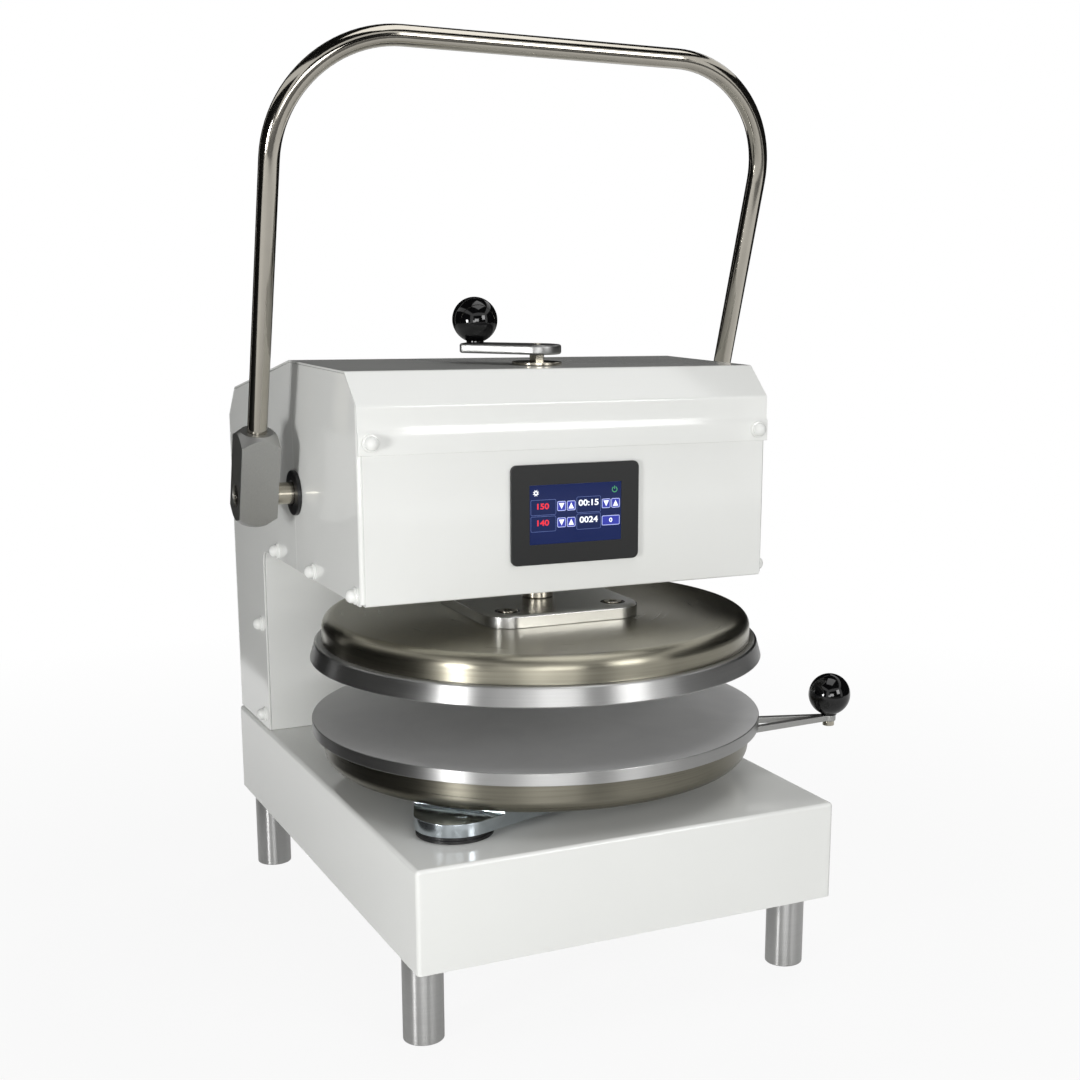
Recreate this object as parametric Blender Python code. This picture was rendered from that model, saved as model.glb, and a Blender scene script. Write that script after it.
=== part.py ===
"""Heated dough press: an 18 inch countertop press with a pull-down handle and a swing-out lower platen.

Run with: blender --background --python part.py, or from the text editor.

The machine frame has X to the right, Y to the back and Z up, with the platen axis on x = y = 0 and the
top of the base on z = 0. One empty carries it, so that the whole press stands on the floor with the
middle of its footprint over the world's origin.

The handle turns a cross shaft. A pinion on that shaft drives a rack, and the rack lowers a crosshead that
carries the ram and the upper platen. The crank on top turns a hexagonal spindle, which slides through a
nut in the crosshead and turns it, so that the ram is screwed up or down for the thickness of the dough.
"""

import math

import bmesh
import bpy
from mathutils import Matrix, Vector

# Sheet metal and fits
SHEET = 0.002
BEND_RADIUS = 0.004
SEAT_GAP = 0.0003
CUT_OVERRUN = 0.005
EDGE_CHAMFER = 0.001

# Base box
BASE_WIDTH = 0.432
BASE_DEPTH = 0.612
BASE_HEIGHT = 0.098

# Legs
LEG_DIAMETER = 0.038
LEG_LENGTH = 0.083
LEG_INSET_X = 0.0215
LEG_INSET_Y = 0.049
LEG_STUD_RADIUS = 0.006
LEG_STUD_LENGTH = 0.010

# Column and head casing
HEAD_FRONT = 0.089
HEAD_BOTTOM = 0.205
HEAD_TOP = 0.416
COLUMN_DEPTH = 0.125
THROAT_CLEARANCE = 0.0284
THROAT_RADIUS = 0.015
SPLIT_Y = 0.122
FRONT_SLOPE_RUN = 0.033
FRONT_SLOPE_DROP = 0.029
REAR_SLOPE_DROP = 0.042
REAR_CHAMFER_RUN = 0.030
REAR_CHAMFER_DROP = 0.033
JOGGLE_BELOW_TOP = 0.053
LIP_BELOW_TOP = 0.073
SIDE_FLANGE = 0.016
THROAT_FLANGE = 0.026
VENT_COUNT = 5
VENT_LENGTH = 0.120
VENT_HEIGHT = 0.005
VENT_PITCH = 0.014
VENT_RISE = 0.120
VENT_ROUND_SHARE = 0.49

# Dome nuts
NUT_FLANGE_RADIUS = 0.008
NUT_FLANGE_THICKNESS = 0.0018
NUT_BODY_RADIUS = 0.0062
NUT_BODY_HEIGHT = 0.0045
NUT_HEIGHT = 0.0095
NUT_ABOVE_HEAD_BOTTOM = 0.0085
HEAD_NUT_INSET = 0.017
HEAD_NUT_PITCH = 0.134
COLUMN_NUT_INSET = 0.018
COLUMN_NUT_LOW = 0.015
COLUMN_NUT_HIGH = 0.119
COLUMN_TOP_NUT_INSET = 0.063
COVER_NUT_INSET = 0.0115
COVER_NUT_DROP = 0.0615

# Display
BEZEL_WIDTH = 0.134
BEZEL_HEIGHT = 0.0955
BEZEL_THICKNESS = 0.003
BEZEL_CORNER = 0.005
BEZEL_CENTRE_DROP = 0.135
SCREEN_WIDTH = 0.0966
SCREEN_HEIGHT = 0.0567
SCREEN_RECESS = 0.0006
SCREEN_DEPTH = 0.006
BOARD_WIDTH = 0.120
BOARD_HEIGHT = 0.080
BOARD_THICKNESS = 0.0016
BOARD_SETBACK = 0.012
BOARD_POST_RADIUS = 0.004
BOARD_POST_INSET = 0.006
DISPLAY_CUTOUT_MARGIN = 0.002

# Frame plates
FRAME_GAP = 0.090
FRAME_THICKNESS = 0.010
FRAME_TOE_SETBACK = 0.040
FRAME_NOSE = 0.040
FRAME_CLEARANCE = 0.005
FRAME_UNDER_BASE_TOP = 0.008

# Cross shaft and its bearings
SHAFT_RADIUS = 0.011
SHAFT_Y = 0.116
SHAFT_Z = 0.285
SHAFT_END_RECESS = 0.001
BEARING_BARREL_RADIUS = 0.015
BEARING_FLANGE_RADIUS = 0.021
BEARING_FLANGE_THICKNESS = 0.004
BEARING_BARREL_LENGTH = 0.014
BUSH_CLEARANCE = 0.0003

# Handle
HANDLE_LEAN_DEGREES = 18.0
HANDLE_SWING_DEGREES = 85.0
HANDLE_HALF_WIDTH = 0.2547
BLOCK_STANDOFF = 0.0227
HANDLE_REACH = 0.447
HANDLE_BEND = 0.115
HANDLE_TUBE_RADIUS = 0.0095
HANDLE_TUBE_WALL = 0.002
HANDLE_SOCKET_DEPTH = 0.030
BLOCK_SIDE = 0.038
BLOCK_BELOW_SHAFT = 0.028
BLOCK_ABOVE_SHAFT = 0.068
BLOCK_TURNED_RADIUS = 0.0163

# Pinion and rack
GEAR_MODULE = 0.003
PINION_TEETH = 24
RACK_TEETH = 10
RACK_TEETH_BELOW = 2
PRESSURE_ANGLE_DEGREES = 20.0
DEDENDUM_SHARE = 1.25
GEAR_BACKLASH = 0.0004
GEAR_WIDTH = 0.024
PINION_HUB_RADIUS = 0.021
PINION_HUB_LENGTH = 0.044
RACK_BACK = 0.012

# Crosshead, adjuster nut and ram
RAM_RADIUS = 0.016
CROSSHEAD_BOTTOM = 0.330
CROSSHEAD_THICKNESS = 0.024
CROSSHEAD_FRONT = 0.028
GUIDE_CLEARANCE = 0.0005
NUT_SLEEVE_RADIUS = 0.019
NUT_COLLAR_RADIUS = 0.026
NUT_COLLAR_THICKNESS = 0.007
NUT_TOP_ABOVE_CROSSHEAD = 0.012
RETAINER_THICKNESS = 0.005
RETAINER_SIDE = 0.072
SCREW_RADIUS = 0.012
SCREW_LENGTH = 0.0275
SCREW_TOP_BELOW_CROSSHEAD_TOP = 0.004
ADJUST_LEAD = 0.004
ADJUST_TURNS = 1.5
NUT_RELIEF = 0.0005
SPINDLE_WELL_RADIUS = 0.0072
SPINDLE_WELL_DEPTH = 0.060
RAM_SPIGOT_RADIUS = 0.012

# Ram guide and return spring
GUIDE_TOP_CLEARANCE = 0.004
GUIDE_HALF_DEPTH = 0.028
GUIDE_SHELF_BACK = 0.058
GUIDE_SHELF_THICKNESS = 0.006
RAM_BUSH_WALL = 0.004
GAS_TUBE_RADIUS = 0.009
GAS_ROD_RADIUS = 0.004
GAS_TUBE_FLOOR = 0.002
GAS_ENGAGEMENT = 0.012
GAS_Y = 0.043
GAS_POCKET_CLEARANCE = 0.001
GAS_POCKET_DEPTH = 0.016

# Mounting plate and upper platen
PLATEN_RADIUS = 0.2286
PLATEN_DAYLIGHT = 0.0608
MOUNT_PLATE_SIDE = 0.165
MOUNT_PLATE_THICKNESS = 0.0127
MOUNT_PLATE_CORNER = 0.028
MOUNT_PLATE_CHAMFER = 0.002
MOUNT_SCREW_PITCH = 0.114
MOUNT_SCREW_HEAD_RADIUS = 0.0125
MOUNT_SCREW_HOLE_RADIUS = 0.005
MOUNT_SCREW_SINK = 0.006
UPPER_RIM_HEIGHT = 0.018
UPPER_RIM_DRAFT = 0.0042
DISH_INSET = 0.0121
DISH_HEIGHT = 0.0258
DISH_FILLET = 0.013
DISH_SHEET = 0.0015
DISH_FOOT_LAP = 0.006
HEATER_MARGIN = 0.0428
HEATER_WIDTH = 0.060
HEATER_THICKNESS = 0.006
PLATEN_BOSS_INSET = 0.015

# Lower platen, its pan and the swing arm
LOWER_PLATEN_TOP = 0.0656
LOWER_PLATEN_THICKNESS = 0.0123
PAN_INSET = 0.0108
PAN_BOTTOM = 0.022
FORK_BELOW_PLATEN = 0.002
PIVOT_X = 0.149
PIVOT_SETBACK = 0.082
ARM_END_RADIUS = 0.0375
ARM_END_THICKNESS = 0.0127
ARM_CARRIER_RADIUS = 0.126
ARM_STEP_OFFSET = 0.010
WASHER_RADIUS = 0.036
WASHER_THICKNESS = 0.0062
WASHER_STEP = 0.001
PIVOT_RADIUS = 0.0125
PIVOT_HEAD = 0.003
PIVOT_FLANGE_RADIUS = 0.036
PIVOT_FLANGE_THICKNESS = 0.008
PIVOT_PLATE_THICKNESS = 0.008
PIVOT_PLATE_MARGIN = 0.046
STOP_RADIUS = 0.008
STOP_BORE_RADIUS = 0.003
REST_PAD_RADIUS = 0.015
REST_PAD_SHARE = 0.62

# Swing handle
FORK_REACH = 0.0604
FORK_APEX_Y = -0.108
FORK_UPPER_ROOT_INSET = 0.0286
FORK_UPPER_ROOT_Y = -0.080
FORK_LOWER_ROOT_INSET = 0.0426
FORK_LOWER_ROOT_Y = -0.115
FORK_BAR_WIDTH = 0.0075
FORK_BAR_HEIGHT = 0.0062
FORK_EYE_RADIUS = 0.0075
KNOB_RADIUS = 0.0222
KNOB_NECK_RADIUS = 0.0085
KNOB_SINK = 0.0015
KNOB_BOLT_RADIUS = 0.0025
KNOB_BOLT_HEAD_RADIUS = 0.0062
KNOB_BOLT_HEAD_HEIGHT = 0.005
KNOB_SOCKET_DEPTH = 0.012

# Crank
CRANK_ANGLE_DEGREES = 145.0
CRANK_LENGTH = 0.074
CRANK_KNOB_THROW = 0.062
CRANK_HALF_WIDTH = 0.024
CRANK_END_HALF_WIDTH = 0.0175
CRANK_THICKNESS = 0.0095
CRANK_CHAMFER = 0.0025
CRANK_ABOVE_TOP = 0.0105
FLANGE_RADIUS = 0.0245
FLANGE_THICKNESS = 0.0028
SPINDLE_HALF_FLAT = 0.0055
SPINDLE_END_MARGIN = 0.0025
SPINDLE_CLEARANCE = 0.0003
STUB_HALF_FLAT = 0.0067
BRIDGE_DEPTH = 0.060
BRIDGE_THICKNESS = 0.018
BRIDGE_BELOW_TOP = 0.011
SPINDLE_BUSH_WALL = 0.004

# Cable inlet
GLAND_RADIUS = 0.0105
GLAND_BARREL_RADIUS = 0.008
GLAND_REACH = 0.013
GLAND_X = 0.150
GLAND_Z = 0.040

# Finishes: linear colour, roughness, metallic
WHITE_POWDER_COAT = ((0.80, 0.80, 0.77), 0.30, 0.0)
MACHINED_STEEL = ((0.42, 0.42, 0.41), 0.35, 1.0)
BRUSHED_STAINLESS = ((0.48, 0.47, 0.44), 0.28, 1.0)
MACHINED_ALUMINIUM = ((0.55, 0.55, 0.55), 0.45, 1.0)
ZINC_PLATE = ((0.55, 0.60, 0.62), 0.25, 1.0)
SINTERED_BRONZE = ((0.48, 0.32, 0.16), 0.40, 1.0)
BLACK_PLASTIC = ((0.01, 0.01, 0.01), 0.20, 0.0)
CHARCOAL_PLASTIC = ((0.035, 0.037, 0.045), 0.45, 0.0)
BLUE_SCREEN = ((0.01, 0.02, 0.12), 0.10, 0.0)
CIRCUIT_BOARD = ((0.02, 0.15, 0.06), 0.50, 0.0)
MICA_HEATER = ((0.30, 0.27, 0.22), 0.60, 0.0)
BLACK_RUBBER = ((0.02, 0.02, 0.02), 0.70, 0.0)

# Facets
BIG_STEPS = 48
ROUND_STEPS = 20
SMALL_STEPS = 12
NUT_STEPS = 10
TUBE_SIDES = 12
TUBE_BEND_STEPS = 7
KNOB_STEPS = 16
KNOB_ARC_STEPS = 8
END_STEPS = 10
CARRIER_STEPS = 24
ARC_STEPS = 3
FINE_ANGLE_DEGREES = 35.0

# Places worked out from the sizes above
COLUMN_FRONT_Y = PLATEN_RADIUS + THROAT_CLEARANCE
BASE_BACK_Y = COLUMN_FRONT_Y + COLUMN_DEPTH
BASE_FRONT_Y = BASE_BACK_Y - BASE_DEPTH
PIVOT_Y = -BASE_FRONT_Y - PIVOT_SETBACK
FRAME_TOE_Y = BASE_FRONT_Y + FRAME_TOE_SETBACK
REAR_SLOPE_END_Y = BASE_BACK_Y - REAR_CHAMFER_RUN
HEAD_WIDTH = 2 * (HANDLE_HALF_WIDTH - BLOCK_SIDE / 2 - BLOCK_STANDOFF)
HEAD_FRONT_Y = -HEAD_FRONT
DISH_RADIUS = PLATEN_RADIUS - DISH_INSET
PAN_RADIUS = PLATEN_RADIUS - PAN_INSET
HEATER_OUTER = PAN_RADIUS - HEATER_MARGIN
HEATER_INNER = HEATER_OUTER - HEATER_WIDTH
PLATEN_BOSS_RADIUS = HEATER_INNER - PLATEN_BOSS_INSET
FORK_APEX_X = PLATEN_RADIUS + FORK_REACH
FORK_UPPER_ROOT_X = PLATEN_RADIUS - FORK_UPPER_ROOT_INSET
FORK_LOWER_ROOT_X = PLATEN_RADIUS - FORK_LOWER_ROOT_INSET
HANDLE_LEAN = math.radians(HANDLE_LEAN_DEGREES)
PITCH_RADIUS = GEAR_MODULE * PINION_TEETH / 2
RACK_PITCH = math.pi * GEAR_MODULE
STROKE = PITCH_RADIUS * math.radians(HANDLE_SWING_DEGREES)
ADJUST_REACH = ADJUST_LEAD * ADJUST_TURNS
UPPER_PLATEN_BOTTOM = LOWER_PLATEN_TOP + PLATEN_DAYLIGHT
UPPER_RIM_TOP = UPPER_PLATEN_BOTTOM + UPPER_RIM_HEIGHT
DISH_TOP = UPPER_RIM_TOP + SEAT_GAP + DISH_HEIGHT
MOUNT_PLATE_BOTTOM = DISH_TOP + SEAT_GAP
MOUNT_PLATE_TOP = MOUNT_PLATE_BOTTOM + MOUNT_PLATE_THICKNESS
CROSSHEAD_TOP = CROSSHEAD_BOTTOM + CROSSHEAD_THICKNESS
GUIDE_TOP = CROSSHEAD_BOTTOM - STROKE - GUIDE_TOP_CLEARANCE
RACK_PITCH_Y = SHAFT_Y - PITCH_RADIUS
RACK_BACK_Y = RACK_PITCH_Y - DEDENDUM_SHARE * GEAR_MODULE - RACK_BACK
CRANK_BOTTOM = HEAD_TOP + CRANK_ABOVE_TOP
CRANK_TOP = CRANK_BOTTOM + CRANK_THICKNESS
SCREW_TOP = CROSSHEAD_TOP - SCREW_TOP_BELOW_CROSSHEAD_TOP
SPINDLE_BOTTOM = CROSSHEAD_TOP - STROKE - SPINDLE_END_MARGIN
INNER_HALF_WIDTH = HEAD_WIDTH / 2 - SHEET - SEAT_GAP
FORK_TOP = LOWER_PLATEN_TOP - LOWER_PLATEN_THICKNESS - FORK_BELOW_PLATEN
LEFT_REACH = HANDLE_HALF_WIDTH + BLOCK_SIDE / 2
RIGHT_REACH = FORK_APEX_X + KNOB_RADIUS
ORIGIN_X = (RIGHT_REACH - LEFT_REACH) / 2
ORIGIN_Y = (BASE_BACK_Y + GLAND_REACH + BASE_FRONT_Y) / 2


def material(name, finish):
    """A Principled material from a finish: its colour, roughness and metallic value."""
    colour, roughness, metallic = finish
    made = bpy.data.materials.new(name)
    made.use_nodes = True
    shader = made.node_tree.nodes["Principled BSDF"]
    shader.inputs["Base Color"].default_value = (*colour, 1.0)
    shader.inputs["Roughness"].default_value = roughness
    shader.inputs["Metallic"].default_value = metallic
    made.diffuse_color = (*colour, 1.0)
    return made


def arc(centre, radius, start, end, steps):
    """Points on an arc from one angle to another, both included, in radians."""
    turn = (end - start) / steps
    return [
        (centre[0] + radius * math.cos(start + turn * i), centre[1] + radius * math.sin(start + turn * i))
        for i in range(steps + 1)
    ]


def filleted(points, radius, steps=ARC_STEPS, closed=False):
    """The same path with each inner corner rounded, or all of them on a closed outline."""
    count = len(points)
    path = []
    for i, point in enumerate(points):
        if not closed and i in (0, count - 1):
            path.append(point)
            continue
        corner = Vector(point)
        back = (Vector(points[i - 1]) - corner).normalized()
        onward = (Vector(points[(i + 1) % count]) - corner).normalized()
        half = back.angle(onward) / 2
        middle = corner + (back + onward).normalized() * (radius / math.sin(half))
        first = corner + back * (radius / math.tan(half)) - middle
        last = corner + onward * (radius / math.tan(half)) - middle
        sweep = first.angle_signed(last)
        path += [tuple(middle + Matrix.Rotation(-sweep * k / steps, 2) @ first) for k in range(steps + 1)]
    return path


def offset_path(points, distance):
    """An open path moved sideways, to the left of its direction, with mitred corners."""
    moved = []
    for i, point in enumerate(points):
        here = Vector(point)
        before = (here - Vector(points[i - 1])).normalized() if i else None
        after = (Vector(points[i + 1]) - here).normalized() if i + 1 < len(points) else None
        along = [step for step in (before, after) if step is not None]
        normals = [Vector((-step.y, step.x)) for step in along]
        mean = sum(normals, Vector((0.0, 0.0))).normalized()
        moved.append(tuple(here + mean * (distance / mean.dot(normals[0]))))
    return moved


def sheet(path, thickness):
    """The closed section of a bent sheet: a path on one face, and the same path on the other."""
    return path + offset_path(path, thickness)[::-1]


def finish_mesh(name, bm):
    bmesh.ops.recalc_face_normals(bm, faces=bm.faces)
    mesh = bpy.data.meshes.new(name)
    bm.to_mesh(mesh)
    bm.free()
    mesh.shade_smooth()
    mesh.set_sharp_from_angle(angle=math.radians(FINE_ANGLE_DEGREES))
    return mesh


def prism(name, outline, start, end, axis):
    """An outline extruded along X, Y or Z. Its points are the other two coordinates, in that order."""
    place = {
        "X": lambda u, v: (start, u, v),
        "Y": lambda u, v: (u, start, v),
        "Z": lambda u, v: (u, v, start),
    }[axis]
    travel = Vector(tuple((end - start) if letter == axis else 0.0 for letter in "XYZ"))
    bm = bmesh.new()
    face = bm.faces.new([bm.verts.new(place(u, v)) for u, v in outline])
    made = bmesh.ops.extrude_face_region(bm, geom=[face])["geom"]
    bmesh.ops.translate(bm, vec=travel, verts=[v for v in made if isinstance(v, bmesh.types.BMVert)])
    return finish_mesh(name, bm)


def block(name, low, high):
    """A box between two corners."""
    outline = [(low[0], low[1]), (high[0], low[1]), (high[0], high[1]), (low[0], high[1])]
    return prism(name, outline, low[2], high[2], "Z")


def turned(name, profile, steps=ROUND_STEPS, closed=False, axis="Z"):
    """A profile of radius and height, spun about Z and then laid along the axis that is asked for."""
    bm = bmesh.new()
    verts = [bm.verts.new((radius, 0.0, height)) for radius, height in profile]
    onward = verts[1:] + verts[:1] if closed else verts[1:]
    # A side that lies on the axis sweeps no face
    edges = [bm.edges.new(pair) for pair in zip(verts, onward) if pair[0].co.x or pair[1].co.x]
    bmesh.ops.spin(
        bm, geom=verts + edges, cent=(0.0, 0.0, 0.0), axis=(0.0, 0.0, 1.0), angle=2 * math.pi, steps=steps
    )
    bmesh.ops.remove_doubles(bm, verts=bm.verts, dist=SEAT_GAP / 100)
    turn = {
        "Z": Matrix.Identity(3),
        "X": Matrix.Rotation(math.pi / 2, 3, "Y"),
        "Y": Matrix.Rotation(-math.pi / 2, 3, "X"),
    }[axis]
    bmesh.ops.rotate(bm, verts=bm.verts, cent=(0.0, 0.0, 0.0), matrix=turn)
    return finish_mesh(name, bm)


def rod(name, radius, start, end, steps=ROUND_STEPS, axis="Z"):
    return turned(name, [(0.0, start), (radius, start), (radius, end), (0.0, end)], steps, axis=axis)


def ring(name, inner, outer, start, end, steps=ROUND_STEPS, axis="Z"):
    profile = [(inner, start), (outer, start), (outer, end), (inner, end)]
    return turned(name, profile, steps, closed=True, axis=axis)


def hexagon(half_flat):
    corner = half_flat / math.cos(math.pi / 6)
    return arc((0.0, 0.0), corner, 0.0, 2 * math.pi, 6)[:-1]


def rounded_rectangle(width, height, radius, centre=(0.0, 0.0)):
    across, up = width / 2, height / 2
    corners = [(-across, -up), (across, -up), (across, up), (-across, up)]
    return filleted([(centre[0] + u, centre[1] + v) for u, v in corners], radius, closed=True)


def swept_tube(name, path, normal, outer, inner, sides):
    """A tube along a flat path, its ends open, from rings of points that stand square to the path."""
    bm = bmesh.new()
    skins = []
    for radius in (outer, inner):
        rings = []
        for i, point in enumerate(path):
            tangent = (path[min(i + 1, len(path) - 1)] - path[max(i - 1, 0)]).normalized()
            across = tangent.cross(normal)
            around = arc((0.0, 0.0), radius, 0.0, 2 * math.pi, sides)[:-1]
            rings.append([bm.verts.new(point + across * u + normal * v) for u, v in around])
        skins.append(rings)
    seams = [pair for rings in skins for pair in zip(rings, rings[1:])]
    seams += [(skins[0][end], skins[1][end]) for end in (0, -1)]
    for near, far in seams:
        for k in range(sides):
            bm.faces.new((near[k - 1], near[k], far[k], far[k - 1]))
    return finish_mesh(name, bm)


def empty(name, parent=None, location=(0.0, 0.0, 0.0), rotation=(0.0, 0.0, 0.0)):
    made = bpy.data.objects.new(name, None)
    made.empty_display_size = BASE_HEIGHT
    made.location = location
    made.rotation_euler = rotation
    made.parent = parent
    bpy.context.scene.collection.objects.link(made)
    return made


def place(mesh, parent, finish, location=(0.0, 0.0, 0.0), rotation=(0.0, 0.0, 0.0)):
    """An object of this mesh, named as the mesh is, in a material of its own."""
    made = bpy.data.objects.new(mesh.name, mesh)
    mesh.materials.append(material(mesh.name, finish))
    made.location = location
    made.rotation_euler = rotation
    made.parent = parent
    bpy.context.scene.collection.objects.link(made)
    return made


def combine(target, mesh, operation, location=(0.0, 0.0, 0.0), rotation=(0.0, 0.0, 0.0)):
    """Cuts the target by a helper solid, joins it to the target, or keeps what they share."""
    helper = bpy.data.objects.new(mesh.name, mesh)
    helper.hide_render = True
    helper.display_type = "WIRE"
    helper.location = location
    helper.rotation_euler = rotation
    helper.parent = target
    bpy.context.scene.collection.objects.link(helper)
    modifier = target.modifiers.new(mesh.name, "BOOLEAN")
    modifier.operation = operation
    modifier.solver = "EXACT"
    modifier.object = helper
    return target


def cut(target, mesh, location=(0.0, 0.0, 0.0), rotation=(0.0, 0.0, 0.0)):
    return combine(target, mesh, "DIFFERENCE", location, rotation)


def join(target, mesh, location=(0.0, 0.0, 0.0), rotation=(0.0, 0.0, 0.0)):
    return combine(target, mesh, "UNION", location, rotation)


def make_base(root):
    """The five-sided sheet box, its bottom plate and the four legs screwed up into that plate."""
    half, front, back = BASE_WIDTH / 2, BASE_FRONT_Y, BASE_BACK_Y
    bm = bmesh.new()
    size = Matrix.Diagonal((BASE_WIDTH, BASE_DEPTH, BASE_HEIGHT, 1.0))
    middle = Matrix.Translation((0.0, (front + back) / 2, -BASE_HEIGHT / 2))
    bmesh.ops.create_cube(bm, size=1.0, matrix=middle @ size)
    low = [f for f in bm.faces if f.normal.z < 0 and abs(f.normal.z) > abs(f.normal.x) + abs(f.normal.y)]
    bent = [e for e in bm.edges if not any(f in low for f in e.link_faces)]
    bmesh.ops.bevel(
        bm, geom=bent, offset=BEND_RADIUS, segments=ARC_STEPS, profile=0.5, affect="EDGES", clamp_overlap=True
    )
    floor = [f for f in bm.faces if f.normal.z < -0.5]
    bmesh.ops.delete(bm, geom=floor, context="FACES")
    shell = place(finish_mesh("base_shell", bm), root, WHITE_POWDER_COAT)
    wall = shell.modifiers.new("sheet", "SOLIDIFY")
    wall.thickness = SHEET
    wall.offset = -1.0
    wall.use_even_offset = True
    slot_half = FRAME_GAP / 2 + FRAME_THICKNESS + SHEET
    cut(shell, block(
        "frame_slot",
        (-slot_half, COLUMN_FRONT_Y + SHEET, -FRAME_CLEARANCE),
        (slot_half, back - SHEET, CUT_OVERRUN),
    ))
    pivot_hole = rod("pivot_hole", PIVOT_RADIUS + SEAT_GAP, -FRAME_CLEARANCE, CUT_OVERRUN)
    cut(shell, pivot_hole, (-PIVOT_X, -PIVOT_Y, 0.0))

    margin = 2 * (SHEET + SEAT_GAP)
    outline = rounded_rectangle(
        BASE_WIDTH - margin, BASE_DEPTH - margin, BEND_RADIUS, (0.0, (front + back) / 2)
    )
    plate = place(prism("base_bottom", outline, -BASE_HEIGHT, SHEET - BASE_HEIGHT, "Z"), root, MACHINED_STEEL)
    across = half - LEG_INSET_X
    radius, chamfer = LEG_DIAMETER / 2, EDGE_CHAMFER
    profile = [
        (0.0, -LEG_LENGTH),
        (radius - chamfer, -LEG_LENGTH),
        (radius, chamfer - LEG_LENGTH),
        (radius, -SEAT_GAP),
        (LEG_STUD_RADIUS, -SEAT_GAP),
        (LEG_STUD_RADIUS, LEG_STUD_LENGTH),
        (0.0, LEG_STUD_LENGTH),
    ]
    for depth, y in (("front", front + LEG_INSET_Y), ("rear", back - LEG_INSET_Y)):
        for side, x in (("left", -across), ("right", across)):
            seat = (x, y, -BASE_HEIGHT)
            hole = rod("stud_hole", LEG_STUD_RADIUS + SEAT_GAP, -CUT_OVERRUN, CUT_OVERRUN, SMALL_STEPS)
            cut(plate, hole, seat)
            place(turned(f"leg_{depth}_{side}", profile), root, MACHINED_STEEL, seat)


def casing_path():
    """The outer path of the casing in the YZ plane, from the front lip over the top and down the back."""
    top_front = HEAD_FRONT_Y + FRONT_SLOPE_RUN
    return [
        (HEAD_FRONT_Y, HEAD_BOTTOM),
        (HEAD_FRONT_Y, HEAD_TOP - FRONT_SLOPE_DROP),
        (top_front, HEAD_TOP),
        (SPLIT_Y + BEND_RADIUS, HEAD_TOP),
        (REAR_SLOPE_END_Y, HEAD_TOP - REAR_SLOPE_DROP),
        (BASE_BACK_Y, HEAD_TOP - REAR_SLOPE_DROP - REAR_CHAMFER_DROP),
        (BASE_BACK_Y, 0.0),
    ]


def dome_nut(name):
    profile = [
        (0.0, 0.0),
        (NUT_FLANGE_RADIUS, 0.0),
        (NUT_FLANGE_RADIUS, NUT_FLANGE_THICKNESS),
        (NUT_BODY_RADIUS, NUT_FLANGE_THICKNESS),
        (NUT_BODY_RADIUS, NUT_BODY_HEIGHT),
    ]
    dome = NUT_HEIGHT - NUT_BODY_HEIGHT
    for u, v in arc((0.0, 0.0), 1.0, 0.0, math.pi / 2, 2)[1:-1]:
        profile.append((NUT_BODY_RADIUS * u, NUT_BODY_HEIGHT + dome * v))
    profile.append((0.0, NUT_HEIGHT))
    return turned(name, profile, NUT_STEPS)


def make_sides(root):
    """Two sheet panels a side, meeting on a plumb seam, with their dome nuts fused to them."""
    roof = offset_path(casing_path(), -SHEET - SEAT_GAP)
    fold = HEAD_FRONT_Y + SHEET + SEAT_GAP
    notch_y, notch_z = fold + 2 * SHEET, HEAD_BOTTOM + SHEET + SEAT_GAP
    head_outline = [
        (fold - SHEET, notch_z),
        (notch_y, notch_z),
        (notch_y, HEAD_BOTTOM),
        (SPLIT_Y - SEAT_GAP, HEAD_BOTTOM),
        (SPLIT_Y - SEAT_GAP, roof[2][1]),
        roof[2],
        roof[1],
        (roof[1][0], HEAD_TOP - JOGGLE_BELOW_TOP),
        (fold - SHEET, HEAD_TOP - JOGGLE_BELOW_TOP - SHEET),
    ]
    throat = filleted(
        [(SPLIT_Y, HEAD_BOTTOM), (COLUMN_FRONT_Y, HEAD_BOTTOM), (COLUMN_FRONT_Y, SEAT_GAP)], THROAT_RADIUS
    )
    column_outline = throat + [(roof[6][0], SEAT_GAP), roof[5], roof[4], roof[3], (SPLIT_Y, roof[3][1])]
    bolt_height = HEAD_BOTTOM + NUT_ABOVE_HEAD_BOTTOM
    head_nuts = [(HEAD_FRONT_Y + HEAD_NUT_INSET + HEAD_NUT_PITCH * i, bolt_height) for i in range(2)]
    column_nuts = [
        (COLUMN_FRONT_Y - COLUMN_TOP_NUT_INSET, bolt_height),
        (COLUMN_FRONT_Y + COLUMN_NUT_INSET, COLUMN_NUT_HIGH),
        (COLUMN_FRONT_Y + COLUMN_NUT_INSET, COLUMN_NUT_LOW),
    ]
    outer = HEAD_WIDTH / 2
    for side, sign in (("left", -1), ("right", 1)):
        plan = [(sign * outer, SPLIT_Y), (sign * outer, fold), (sign * (outer - SIDE_FLANGE), fold)]
        bent = filleted(plan, BEND_RADIUS)
        section = sheet(bent, -sign * SHEET)
        head = place(prism(f"head_side_{side}", section, 0.0, HEAD_TOP, "Z"), root, WHITE_POWDER_COAT)
        combine(head, prism("outline", head_outline, -outer, outer, "X"), "INTERSECT")
        ends = (sign * (outer - SHEET), sign * outer)
        column = place(prism(f"column_side_{side}", column_outline, *ends, "X"), root, WHITE_POWDER_COAT)
        for panel, nuts in ((head, head_nuts), (column, column_nuts)):
            hole = rod("bearing_hole", BEARING_BARREL_RADIUS + SEAT_GAP, -CUT_OVERRUN, CUT_OVERRUN, axis="X")
            cut(panel, hole, (sign * outer, SHAFT_Y, SHAFT_Z))
            for y, z in nuts:
                turn = (0.0, sign * math.pi / 2, 0.0)
                join(panel, dome_nut("dome_nut"), (sign * (outer - SHEET / 4), y, z), turn)


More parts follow.
